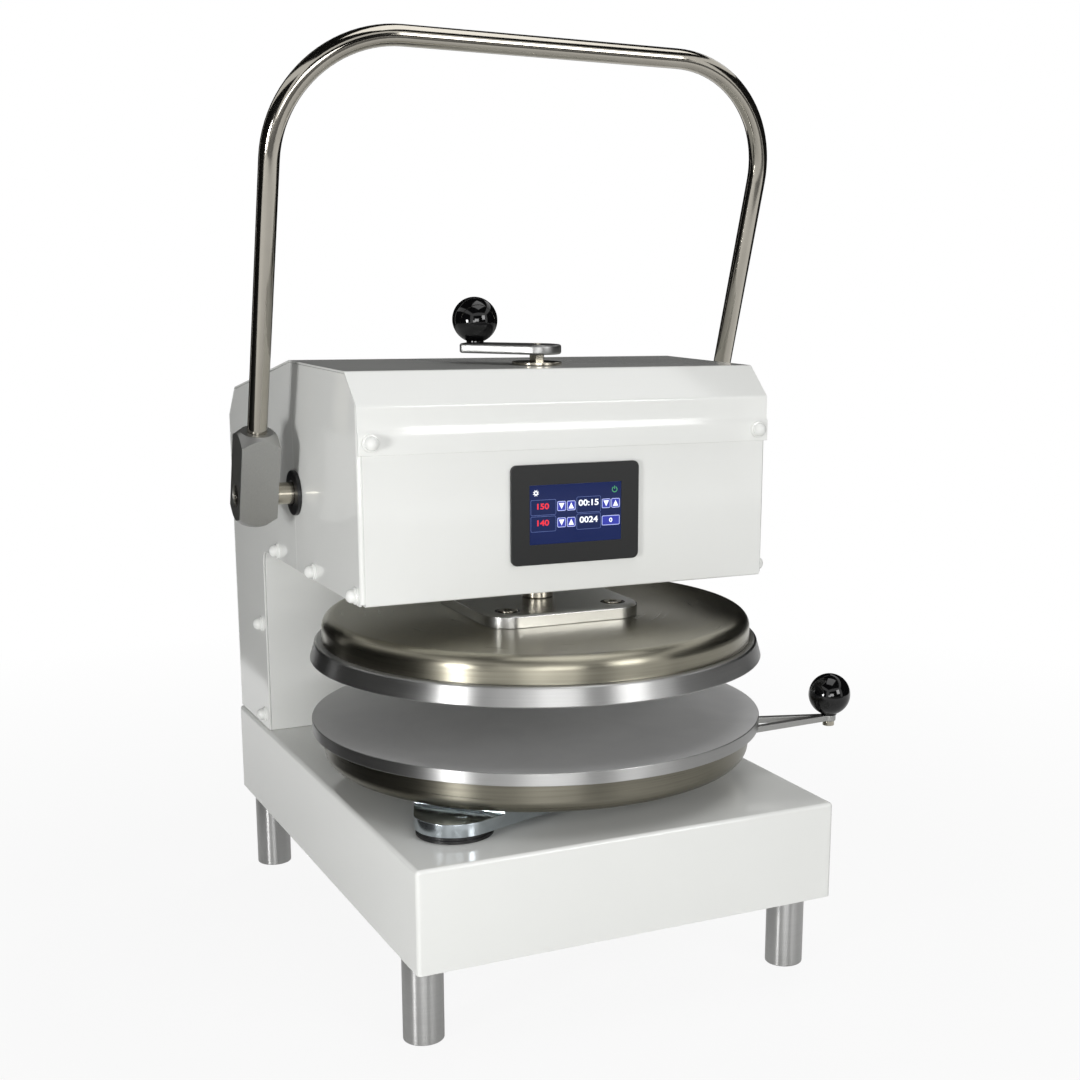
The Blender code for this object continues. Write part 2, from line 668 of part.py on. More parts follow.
def make_covers(root):
    """The bent sheets that close the casing over, before, behind and beneath."""
    path = casing_path()
    half = HEAD_WIDTH / 2
    joggle, lip = HEAD_TOP - JOGGLE_BELOW_TOP, HEAD_TOP - LIP_BELOW_TOP
    lip_y = HEAD_FRONT_Y - SHEET - SEAT_GAP
    over = [(lip_y, lip), (lip_y, joggle), (HEAD_FRONT_Y, joggle + SHEET)] + path[1:3]
    over.append((SPLIT_Y - SEAT_GAP / 2, HEAD_TOP))
    outer = over[:3] + filleted(over[2:], BEND_RADIUS)[1:]
    cover = place(prism("top_cover", sheet(outer, -SHEET), -half, half, "X"), root, WHITE_POWDER_COAT)
    spindle_hole = SPINDLE_HALF_FLAT / math.cos(math.pi / 6) + EDGE_CHAMFER
    cut(cover, rod("spindle_hole", spindle_hole, HEAD_TOP - CUT_OVERRUN, HEAD_TOP + CUT_OVERRUN))

    behind = [(SPLIT_Y + SEAT_GAP / 2, HEAD_TOP)] + path[3:6] + [(path[6][0], SEAT_GAP)]
    section = sheet(filleted(behind, BEND_RADIUS), -SHEET)
    rear = place(prism("rear_cover", section, -half, half, "X"), root, WHITE_POWDER_COAT)
    for i in range(VENT_COUNT):
        z = VENT_RISE + i * VENT_PITCH
        slot = rounded_rectangle(VENT_LENGTH, VENT_HEIGHT, VENT_HEIGHT * VENT_ROUND_SHARE, (0.0, z))
        cut(rear, prism("vent", slot, BASE_BACK_Y - CUT_OVERRUN, BASE_BACK_Y + CUT_OVERRUN, "Y"))
    gland_hole = rod("gland_hole", GLAND_BARREL_RADIUS + SEAT_GAP, -CUT_OVERRUN, CUT_OVERRUN, axis="Y")
    cut(rear, gland_hole, (GLAND_X, BASE_BACK_Y, GLAND_Z))

    # The front panel turns back under the head, where the throat panel meets it
    lift = HEAD_BOTTOM + SHEET + SEAT_GAP
    front_top = joggle - SHEET
    front_path = [
        (HEAD_FRONT_Y + SIDE_FLANGE, HEAD_BOTTOM),
        (HEAD_FRONT_Y, HEAD_BOTTOM),
        (HEAD_FRONT_Y, front_top),
    ]
    width = half - BEND_RADIUS
    section = sheet(filleted(front_path, BEND_RADIUS / 2), -SHEET)
    front = place(prism("front_panel", section, -width, width, "X"), root, WHITE_POWDER_COAT)
    window = rounded_rectangle(
        SCREEN_WIDTH + 2 * DISPLAY_CUTOUT_MARGIN,
        SCREEN_HEIGHT + 2 * DISPLAY_CUTOUT_MARGIN,
        DISPLAY_CUTOUT_MARGIN,
        (0.0, HEAD_TOP - BEZEL_CENTRE_DROP),
    )
    cut(front, prism("display_cutout", window, HEAD_FRONT_Y - CUT_OVERRUN, HEAD_FRONT_Y + CUT_OVERRUN, "Y"))

    under = [
        (HEAD_FRONT_Y + SIDE_FLANGE + SEAT_GAP, HEAD_BOTTOM),
        (COLUMN_FRONT_Y, HEAD_BOTTOM),
        (COLUMN_FRONT_Y, SEAT_GAP),
    ]
    bent = filleted(under, THROAT_RADIUS)
    section = sheet(bent, SHEET)
    throat = place(
        prism("throat_panel", section, -INNER_HALF_WIDTH, INNER_HALF_WIDTH, "X"), root, WHITE_POWDER_COAT
    )
    for sign in (-1, 1):
        ends = (sign * (INNER_HALF_WIDTH - SHEET), sign * INNER_HALF_WIDTH)
        join(throat, prism("side_flange", sheet(bent, THROAT_FLANGE), *ends, "X"))
    ram_hole = RAM_RADIUS + RAM_BUSH_WALL + EDGE_CHAMFER
    cut(throat, rod("ram_hole", ram_hole, HEAD_BOTTOM - CUT_OVERRUN, lift + CUT_OVERRUN))

    for side, sign in (("left", -1), ("right", 1)):
        nut = dome_nut(f"cover_nut_{side}")
        spot = (sign * (half - COVER_NUT_INSET), lip_y - SEAT_GAP, HEAD_TOP - COVER_NUT_DROP)
        place(nut, root, WHITE_POWDER_COAT, spot, (math.pi / 2, 0.0, 0.0))


def make_display(root):
    """The bezel on the front panel, the screen in its window and the control board behind."""
    z = HEAD_TOP - BEZEL_CENTRE_DROP
    back = HEAD_FRONT_Y - SEAT_GAP
    face = back - BEZEL_THICKNESS
    outline = rounded_rectangle(BEZEL_WIDTH, BEZEL_HEIGHT, BEZEL_CORNER, (0.0, z))
    bezel = place(prism("display_bezel", outline, face, back, "Y"), root, CHARCOAL_PLASTIC)
    window = rounded_rectangle(
        SCREEN_WIDTH + 2 * SEAT_GAP, SCREEN_HEIGHT + 2 * SEAT_GAP, SEAT_GAP * 2, (0.0, z)
    )
    cut(bezel, prism("window", window, face - CUT_OVERRUN, back + CUT_OVERRUN, "Y"))
    screen_front = face + SCREEN_RECESS
    screen_back = screen_front + SCREEN_DEPTH
    half_w, half_h = SCREEN_WIDTH / 2, SCREEN_HEIGHT / 2
    place(block(
        "display_screen", (-half_w, screen_front, z - half_h), (half_w, screen_back, z + half_h)
    ), root, BLUE_SCREEN)
    board_front = HEAD_FRONT_Y + BOARD_SETBACK
    across, up = BOARD_WIDTH / 2, BOARD_HEIGHT / 2
    board = place(block(
        "control_board",
        (-across, board_front, z - up),
        (across, board_front + BOARD_THICKNESS, z + up),
    ), root, CIRCUIT_BOARD)
    post_start = HEAD_FRONT_Y + SHEET + SEAT_GAP
    post_end = board_front + BOARD_THICKNESS / 2
    for u in (-1, 1):
        for v in (-1, 1):
            post = rod("post", BOARD_POST_RADIUS, post_start, post_end, SMALL_STEPS, "Y")
            join(board, post, (u * (across - BOARD_POST_INSET), 0.0, z + v * (up - BOARD_POST_INSET)))


def make_frame(root):
    """Two steel plates cut to a C, with an arm in the base, a back in the column and an arm in the head."""
    low = SHEET - BASE_HEIGHT + SEAT_GAP
    lower_top = -FRAME_UNDER_BASE_TOP - SHEET - 2 * SEAT_GAP
    back = BASE_BACK_Y - SHEET - FRAME_CLEARANCE
    inner = COLUMN_FRONT_Y + SHEET + FRAME_CLEARANCE
    upper_low = HEAD_BOTTOM + SHEET + SEAT_GAP
    upper_top = HEAD_TOP - BRIDGE_BELOW_TOP
    slope_y = REAR_SLOPE_END_Y - FRAME_CLEARANCE
    rear_top = HEAD_TOP - REAR_SLOPE_DROP - BRIDGE_BELOW_TOP
    # The throat panel lies before and below the inner corner, so the plates keep inside it
    outline = [
        (FRAME_TOE_Y, low),
        (back, low),
        (back, rear_top - REAR_CHAMFER_DROP),
        (slope_y - FRAME_CLEARANCE, rear_top),
        (SPLIT_Y, upper_top),
        (-FRAME_NOSE, upper_top),
        (-FRAME_NOSE, upper_low),
        (inner, upper_low),
        (inner, lower_top),
        (FRAME_TOE_Y, lower_top),
    ]
    for side, sign in (("left", -1), ("right", 1)):
        ends = (sign * FRAME_GAP / 2, sign * (FRAME_GAP / 2 + FRAME_THICKNESS))
        plate = place(prism(f"frame_plate_{side}", outline, *ends, "X"), root, MACHINED_STEEL)
        bore = rod(
            "shaft_bore", SHAFT_RADIUS + BUSH_CLEARANCE, -FRAME_THICKNESS, FRAME_THICKNESS, axis="X"
        )
        cut(plate, bore, (sum(ends) / 2, SHAFT_Y, SHAFT_Z))


def make_head_works(root):
    """What is fixed between the frame plates: the ram guide, the top bridge and the return spring's tube."""
    fit = FRAME_GAP / 2 - SEAT_GAP
    low = HEAD_BOTTOM + SHEET + SEAT_GAP
    guide = place(block(
        "ram_guide", (-fit, -GUIDE_HALF_DEPTH, low), (fit, GUIDE_HALF_DEPTH, GUIDE_TOP)
    ), root, MACHINED_STEEL)
    join(guide, block(
        "shelf", (-fit, 0.0, low), (fit, GUIDE_SHELF_BACK, low + GUIDE_SHELF_THICKNESS)
    ))
    bush_outer = RAM_RADIUS + BUSH_CLEARANCE + RAM_BUSH_WALL
    cut(guide, rod("bush_bore", bush_outer + SEAT_GAP, low - CUT_OVERRUN, GUIDE_TOP + CUT_OVERRUN))
    bush = ring("ram_bush", RAM_RADIUS + BUSH_CLEARANCE, bush_outer, HEAD_BOTTOM, GUIDE_TOP)
    place(bush, root, SINTERED_BRONZE)

    tube_low = low + GUIDE_SHELF_THICKNESS + SEAT_GAP
    tube_top = tube_low + GAS_TUBE_FLOOR + STROKE + NUT_RELIEF + GAS_ENGAGEMENT
    bore = GAS_ROD_RADIUS + BUSH_CLEARANCE
    tube = [
        (0.0, tube_low),
        (GAS_TUBE_RADIUS, tube_low),
        (GAS_TUBE_RADIUS, tube_top),
        (bore, tube_top),
        (bore, tube_low + GAS_TUBE_FLOOR),
        (0.0, tube_low + GAS_TUBE_FLOOR),
    ]
    place(turned("gas_spring_tube", tube, SMALL_STEPS), root, BLACK_PLASTIC, (0.0, GAS_Y, 0.0))

    top = HEAD_TOP - BRIDGE_BELOW_TOP
    half = BRIDGE_DEPTH / 2
    bar = block("top_bridge", (-fit, -half, top - BRIDGE_THICKNESS), (fit, half, top))
    bridge = place(bar, root, MACHINED_STEEL)
    corner = SPINDLE_HALF_FLAT / math.cos(math.pi / 6)
    bush = corner + SPINDLE_CLEARANCE + SPINDLE_BUSH_WALL
    cut(bridge, rod("bush_seat", bush + SEAT_GAP, top - BRIDGE_THICKNESS - CUT_OVERRUN, top + CUT_OVERRUN))
    place(ring(
        "spindle_bush", corner + SPINDLE_CLEARANCE, bush, top - BRIDGE_THICKNESS, HEAD_TOP - SHEET - SEAT_GAP
    ), root, SINTERED_BRONZE)
    place(ring(
        "spindle_flange",
        STUB_HALF_FLAT,
        FLANGE_RADIUS,
        HEAD_TOP + SEAT_GAP,
        HEAD_TOP + SEAT_GAP + FLANGE_THICKNESS,
    ), root, MACHINED_STEEL)


def make_bearings(root):
    """Flanged plastic bearings that stand in the side panels round the cross shaft."""
    face = HEAD_WIDTH / 2 + SEAT_GAP
    bore = SHAFT_RADIUS + BUSH_CLEARANCE
    inner_end = face + BEARING_FLANGE_THICKNESS - BEARING_BARREL_LENGTH
    profile = [
        (bore, inner_end),
        (BEARING_BARREL_RADIUS, inner_end),
        (BEARING_BARREL_RADIUS, face),
        (BEARING_FLANGE_RADIUS, face),
        (BEARING_FLANGE_RADIUS, face + BEARING_FLANGE_THICKNESS - EDGE_CHAMFER),
        (BEARING_FLANGE_RADIUS - EDGE_CHAMFER, face + BEARING_FLANGE_THICKNESS),
        (bore, face + BEARING_FLANGE_THICKNESS),
    ]
    for side, sign in (("left", -1), ("right", 1)):
        mesh = turned(f"shaft_bearing_{side}", profile, closed=True, axis="X")
        turn = (0.0, 0.0, 0.0 if sign > 0 else math.pi)
        place(mesh, root, BLACK_PLASTIC, (0.0, SHAFT_Y, SHAFT_Z), turn)


def involute(angle):
    return math.tan(angle) - angle


def pinion_outline():
    """The spur gear's outline in the YZ plane, with a tooth pointing at the rack."""
    pressure = math.radians(PRESSURE_ANGLE_DEGREES)
    base = PITCH_RADIUS * math.cos(pressure)
    root = PITCH_RADIUS - DEDENDUM_SHARE * GEAR_MODULE
    tip = PITCH_RADIUS + GEAR_MODULE
    half = math.pi / (2 * PINION_TEETH) - GEAR_BACKLASH / 4 / PITCH_RADIUS
    flank = []
    for radius in (root, tip):
        roll = involute(math.acos(min(1.0, base / radius)))
        flank.append((radius, half + involute(pressure) - roll))
    outline = []
    for tooth in range(PINION_TEETH):
        middle = math.pi + 2 * math.pi * tooth / PINION_TEETH
        sides = [(radius, middle - angle) for radius, angle in flank]
        sides += [(radius, middle + angle) for radius, angle in flank[::-1]]
        outline += [(radius * math.cos(a), radius * math.sin(a)) for radius, a in sides]
    return outline


def rack_outline():
    """The rack's teeth in the YZ plane, closed round its flat back."""
    slope = math.tan(math.radians(PRESSURE_ANGLE_DEGREES))
    half = RACK_PITCH / 4 - GEAR_BACKLASH / 4
    root_y = RACK_PITCH_Y - DEDENDUM_SHARE * GEAR_MODULE
    tip_y = RACK_PITCH_Y + GEAR_MODULE
    teeth = []
    for i in range(RACK_TEETH):
        z = SHAFT_Z + RACK_PITCH * (i - RACK_TEETH_BELOW + 0.5)
        wide = half + DEDENDUM_SHARE * GEAR_MODULE * slope
        narrow = half - GEAR_MODULE * slope
        teeth += [(root_y, z - wide), (tip_y, z - narrow), (tip_y, z + narrow), (root_y, z + wide)]
    low = teeth[0][1] - GEAR_MODULE
    high = teeth[-1][1] + GEAR_MODULE
    return [(RACK_BACK_Y, low), (root_y, low), *teeth, (root_y, high), (RACK_BACK_Y, high)]


def make_handle(root):
    """Cross shaft and pinion, and the bent tube handle on two square blocks at the shaft's ends."""
    axis = empty("handle_axis", root, (0.0, SHAFT_Y, SHAFT_Z))
    lean = empty("handle_lean", axis, rotation=(HANDLE_LEAN, 0.0, 0.0))
    reach = HANDLE_HALF_WIDTH + BLOCK_SIDE / 2 - SHAFT_END_RECESS
    place(rod("cross_shaft", SHAFT_RADIUS, -reach, reach, axis="X"), axis, BRUSHED_STAINLESS)
    gear = prism("pinion", pinion_outline(), -GEAR_WIDTH / 2, GEAR_WIDTH / 2, "X")
    pinion = place(gear, axis, MACHINED_STEEL)
    hub = PINION_HUB_LENGTH / 2
    join(pinion, rod("hub", PINION_HUB_RADIUS, -hub, hub, axis="X"))
    cut(pinion, rod("pinion_bore", SHAFT_RADIUS + SEAT_GAP, -hub - CUT_OVERRUN, hub + CUT_OVERRUN, axis="X"))

    side = BLOCK_SIDE / 2
    corner = side * math.sqrt(2) + EDGE_CHAMFER
    chamfer = corner - BLOCK_TURNED_RADIUS
    barrel = [
        (0.0, -BLOCK_BELOW_SHAFT),
        (BLOCK_TURNED_RADIUS, -BLOCK_BELOW_SHAFT),
        (corner, chamfer - BLOCK_BELOW_SHAFT),
        (corner, BLOCK_ABOVE_SHAFT - chamfer),
        (BLOCK_TURNED_RADIUS, BLOCK_ABOVE_SHAFT),
        (0.0, BLOCK_ABOVE_SHAFT),
    ]
    socket_floor = BLOCK_ABOVE_SHAFT - HANDLE_SOCKET_DEPTH
    for name, sign in (("left", -1), ("right", 1)):
        mesh = block(
            f"handle_block_{name}",
            (-side, -side, -BLOCK_BELOW_SHAFT - EDGE_CHAMFER),
            (side, side, BLOCK_ABOVE_SHAFT + EDGE_CHAMFER),
        )
        piece = place(mesh, lean, MACHINED_STEEL, (sign * HANDLE_HALF_WIDTH, 0.0, 0.0))
        combine(piece, turned("turned_ends", barrel), "INTERSECT")
        cut(piece, rod(
            "tube_socket", HANDLE_TUBE_RADIUS + SEAT_GAP, socket_floor, BLOCK_ABOVE_SHAFT + CUT_OVERRUN
        ))
        through = side + CUT_OVERRUN
        cut(piece, rod("shaft_socket", SHAFT_RADIUS + SEAT_GAP, -through, through, axis="X"))

    foot = socket_floor + SEAT_GAP
    half = HANDLE_HALF_WIDTH
    corners = [(-half, foot), (-half, HANDLE_REACH), (half, HANDLE_REACH), (half, foot)]
    flat = filleted(corners, HANDLE_BEND, TUBE_BEND_STEPS)
    path = [Vector((u, 0.0, v)) for u, v in flat]
    inner = HANDLE_TUBE_RADIUS - HANDLE_TUBE_WALL
    tube = swept_tube("handle_tube", path, Vector((0.0, 1.0, 0.0)), HANDLE_TUBE_RADIUS, inner, TUBE_SIDES)
    place(tube, lean, BRUSHED_STAINLESS)


def make_crosshead(root):
    """The crosshead with its rack, the adjuster nut held down in it, and the hollow ram under the nut."""
    line = empty("ram_line", root)
    fit = FRAME_GAP / 2 - GUIDE_CLEARANCE
    head_back = RACK_BACK_Y - SEAT_GAP
    crosshead = place(block(
        "crosshead", (-fit, -CROSSHEAD_FRONT, CROSSHEAD_BOTTOM), (fit, head_back, CROSSHEAD_TOP)
    ), line, MACHINED_STEEL)
    collar_low = CROSSHEAD_TOP - NUT_COLLAR_THICKNESS - 2 * SEAT_GAP
    bottom, top = CROSSHEAD_BOTTOM - CUT_OVERRUN, CROSSHEAD_TOP + CUT_OVERRUN
    cut(crosshead, rod("nut_bore", NUT_SLEEVE_RADIUS + NUT_RELIEF, bottom, top))
    cut(crosshead, rod("collar_seat", NUT_COLLAR_RADIUS + NUT_RELIEF, collar_low, top))
    pocket_top = CROSSHEAD_BOTTOM + GAS_POCKET_DEPTH
    pocket = rod(
        "spring_pocket", GAS_TUBE_RADIUS + GAS_POCKET_CLEARANCE, CROSSHEAD_BOTTOM - CUT_OVERRUN, pocket_top,
        SMALL_STEPS,
    )
    cut(crosshead, pocket, (0.0, GAS_Y, 0.0))
    rod_low = pocket_top - SEAT_GAP
    tube_low = HEAD_BOTTOM + SHEET + 2 * SEAT_GAP + GUIDE_SHELF_THICKNESS
    rod_end = tube_low + GAS_TUBE_FLOOR + STROKE + NUT_RELIEF
    spring_rod = rod("gas_spring_rod", GAS_ROD_RADIUS, rod_end, rod_low, SMALL_STEPS)
    place(spring_rod, line, BRUSHED_STAINLESS, (0.0, GAS_Y, 0.0))

    place(prism("rack", rack_outline(), -GEAR_WIDTH / 2, GEAR_WIDTH / 2, "X"), line, MACHINED_STEEL)

    half = RETAINER_SIDE / 2
    keep_low = CROSSHEAD_TOP + SEAT_GAP
    retainer = place(prism(
        "nut_retainer",
        rounded_rectangle(RETAINER_SIDE, CROSSHEAD_FRONT * 2, BEND_RADIUS),
        keep_low,
        keep_low + RETAINER_THICKNESS,
        "Z",
    ), line, MACHINED_STEEL)
    cut(retainer, rod("retainer_bore", NUT_SLEEVE_RADIUS + NUT_RELIEF, CROSSHEAD_TOP, CROSSHEAD_TOP + half))

    nut_bottom = CROSSHEAD_BOTTOM + SEAT_GAP
    nut_top = CROSSHEAD_TOP + NUT_TOP_ABOVE_CROSSHEAD
    collar_base = collar_low + SEAT_GAP
    collar_top = collar_base + NUT_COLLAR_THICKNESS
    thread_top = SCREW_TOP + ADJUST_REACH + NUT_RELIEF
    profile = [
        (SCREW_RADIUS + SEAT_GAP, nut_bottom),
        (NUT_SLEEVE_RADIUS, nut_bottom),
        (NUT_SLEEVE_RADIUS, collar_base),
        (NUT_COLLAR_RADIUS, collar_base),
        (NUT_COLLAR_RADIUS, collar_top),
        (NUT_SLEEVE_RADIUS, collar_top),
        (NUT_SLEEVE_RADIUS, nut_top),
        (0.0, nut_top),
        (0.0, thread_top),
        (SCREW_RADIUS + SEAT_GAP, thread_top),
    ]
    nut = place(turned("adjuster_nut", profile, closed=True), line, SINTERED_BRONZE)
    hex_bore = hexagon(SPINDLE_HALF_FLAT + SPINDLE_CLEARANCE)
    cut(nut, prism("hex_bore", hex_bore, thread_top - CUT_OVERRUN, nut_top + CUT_OVERRUN, "Z"))

    shoulder = SCREW_TOP - SCREW_LENGTH
    seat = MOUNT_PLATE_TOP + SEAT_GAP
    well = SCREW_TOP - SPINDLE_WELL_DEPTH
    profile = [
        (0.0, MOUNT_PLATE_BOTTOM + SEAT_GAP),
        (RAM_SPIGOT_RADIUS, MOUNT_PLATE_BOTTOM + SEAT_GAP),
        (RAM_SPIGOT_RADIUS, seat),
        (RAM_RADIUS, seat),
        (RAM_RADIUS, shoulder),
        (SCREW_RADIUS, shoulder),
        (SCREW_RADIUS, SCREW_TOP),
        (SPINDLE_WELL_RADIUS, SCREW_TOP),
        (SPINDLE_WELL_RADIUS, well),
        (0.0, well),
    ]
    place(turned("ram", profile), line, BRUSHED_STAINLESS)
    return line


def make_upper_platen(line):
    """The plate under the ram, the dished cover, and the tapered platen with its ring heater."""
    outline = rounded_rectangle(MOUNT_PLATE_SIDE, MOUNT_PLATE_SIDE, MOUNT_PLATE_CORNER)
    slab = prism("mounting_plate", outline, MOUNT_PLATE_BOTTOM, MOUNT_PLATE_TOP, "Z")
    plate = place(slab, line, MACHINED_ALUMINIUM)
    bm = bmesh.new()
    bm.from_mesh(plate.data)
    rim = [e for e in bm.edges if all(v.co.z > MOUNT_PLATE_TOP - SEAT_GAP for v in e.verts)]
    bmesh.ops.bevel(bm, geom=rim, offset=MOUNT_PLATE_CHAMFER, segments=1, profile=0.5, affect="EDGES")
    bm.to_mesh(plate.data)
    bm.free()
    low, high = MOUNT_PLATE_BOTTOM - CUT_OVERRUN, MOUNT_PLATE_TOP + CUT_OVERRUN
    cut(plate, rod("spigot_hole", RAM_SPIGOT_RADIUS + SEAT_GAP, low, high))
    sink = MOUNT_PLATE_TOP - MOUNT_SCREW_SINK
    half = MOUNT_SCREW_PITCH / 2
    counterbore = [
        (0.0, low),
        (MOUNT_SCREW_HOLE_RADIUS, low),
        (MOUNT_SCREW_HOLE_RADIUS, sink),
        (MOUNT_SCREW_HEAD_RADIUS, sink),
        (MOUNT_SCREW_HEAD_RADIUS, high),
        (0.0, high),
    ]
    for u in (-1, 1):
        for v in (-1, 1):
            cut(plate, turned("counterbore", counterbore, SMALL_STEPS), (u * half, v * half, 0.0))

    foot = UPPER_RIM_TOP + SEAT_GAP
    corner = (DISH_RADIUS - DISH_FILLET, DISH_TOP - DISH_FILLET)
    outer = [(DISH_RADIUS, foot), *arc(corner, DISH_FILLET, 0.0, math.pi / 2, ARC_STEPS), (0.0, DISH_TOP)]
    dish = turned("upper_dish", sheet(outer, DISH_SHEET), BIG_STEPS, closed=True)
    place(dish, line, BRUSHED_STAINLESS)

    ledge = DISH_RADIUS - DISH_FOOT_LAP
    rim_top = UPPER_RIM_TOP
    profile = [
        (0.0, UPPER_PLATEN_BOTTOM),
        (PLATEN_RADIUS - EDGE_CHAMFER, UPPER_PLATEN_BOTTOM),
        (PLATEN_RADIUS, UPPER_PLATEN_BOTTOM + EDGE_CHAMFER),
        (PLATEN_RADIUS - UPPER_RIM_DRAFT, rim_top - EDGE_CHAMFER),
        (PLATEN_RADIUS - UPPER_RIM_DRAFT - EDGE_CHAMFER, rim_top),
        (ledge, rim_top),
        (ledge, rim_top - HEATER_THICKNESS),
        (PLATEN_BOSS_RADIUS, rim_top - HEATER_THICKNESS),
        (PLATEN_BOSS_RADIUS, DISH_TOP - DISH_SHEET - SEAT_GAP),
        (0.0, DISH_TOP - DISH_SHEET - SEAT_GAP),
    ]
    place(turned("upper_platen", profile, BIG_STEPS), line, MACHINED_ALUMINIUM)
    seat = rim_top - HEATER_THICKNESS + SEAT_GAP
    place(ring("upper_heater", HEATER_INNER, HEATER_OUTER, seat, seat + HEATER_THICKNESS), line, MICA_HEATER)


def ball_knob(name):
    """A ball cut flat at its foot, with a short neck, its origin on the face that it sits on."""
    neck_drop = math.sqrt(KNOB_RADIUS ** 2 - KNOB_NECK_RADIUS ** 2)
    centre = neck_drop + KNOB_SINK
    start = -math.acos(KNOB_NECK_RADIUS / KNOB_RADIUS)
    ball = arc((0.0, centre), KNOB_RADIUS, start, math.pi / 2, KNOB_ARC_STEPS)
    foot = [(KNOB_BOLT_RADIUS + SEAT_GAP, 0.0), (KNOB_NECK_RADIUS, 0.0)]
    socket = [(0.0, KNOB_SOCKET_DEPTH), (KNOB_BOLT_RADIUS + SEAT_GAP, KNOB_SOCKET_DEPTH)]
    return turned(name, foot + ball[:-1] + [(0.0, ball[-1][1])] + socket, KNOB_STEPS, closed=True)


def make_crank(root):
    """The thickness crank: a flat arm with a round hub, its ball knob, and the hexagonal spindle."""
    axis = empty("crank_axis", root)
    turn = math.radians(CRANK_ANGLE_DEGREES)
    arm_turn = empty("crank_turn", axis, rotation=(0.0, 0.0, turn))
    hub = arc((0.0, 0.0), CRANK_HALF_WIDTH, math.pi / 2, 3 * math.pi / 2, END_STEPS)
    end = CRANK_END_HALF_WIDTH
    outline = hub + [(CRANK_LENGTH, -end), (CRANK_LENGTH, end)]
    arm = place(prism("crank_arm", outline, CRANK_BOTTOM, CRANK_TOP, "Z"), arm_turn, MACHINED_ALUMINIUM)
    bm = bmesh.new()
    bm.from_mesh(arm.data)
    rim = [e for e in bm.edges if all(v.co.z > CRANK_TOP - SEAT_GAP for v in e.verts)]
    bmesh.ops.bevel(bm, geom=rim, offset=CRANK_CHAMFER, segments=1, profile=0.5, affect="EDGES")
    bm.to_mesh(arm.data)
    bm.free()
    low, high = CRANK_BOTTOM - CUT_OVERRUN, CRANK_TOP + CUT_OVERRUN
    cut(arm, rod("knob_hole", KNOB_BOLT_RADIUS, low, high, SMALL_STEPS), (CRANK_KNOB_THROW, 0.0, 0.0))
    knob = ball_knob("crank_knob")
    place(knob, arm_turn, BLACK_PLASTIC, (CRANK_KNOB_THROW, 0.0, CRANK_TOP + SEAT_GAP))

    bar = hexagon(SPINDLE_HALF_FLAT)
    stub_low = HEAD_TOP + 2 * SEAT_GAP + FLANGE_THICKNESS
    stub_top = CRANK_BOTTOM - SEAT_GAP
    spindle = place(prism("crank_spindle", bar, SPINDLE_BOTTOM, stub_top, "Z"), axis, MACHINED_STEEL)
    join(spindle, prism("stub", hexagon(STUB_HALF_FLAT), stub_low, stub_top, "Z"))
    collar_top = HEAD_TOP - BRIDGE_BELOW_TOP - BRIDGE_THICKNESS - SEAT_GAP
    collar = STUB_HALF_FLAT + SPINDLE_BUSH_WALL
    join(spindle, rod("collar", collar, collar_top - FLANGE_THICKNESS, collar_top, SMALL_STEPS))


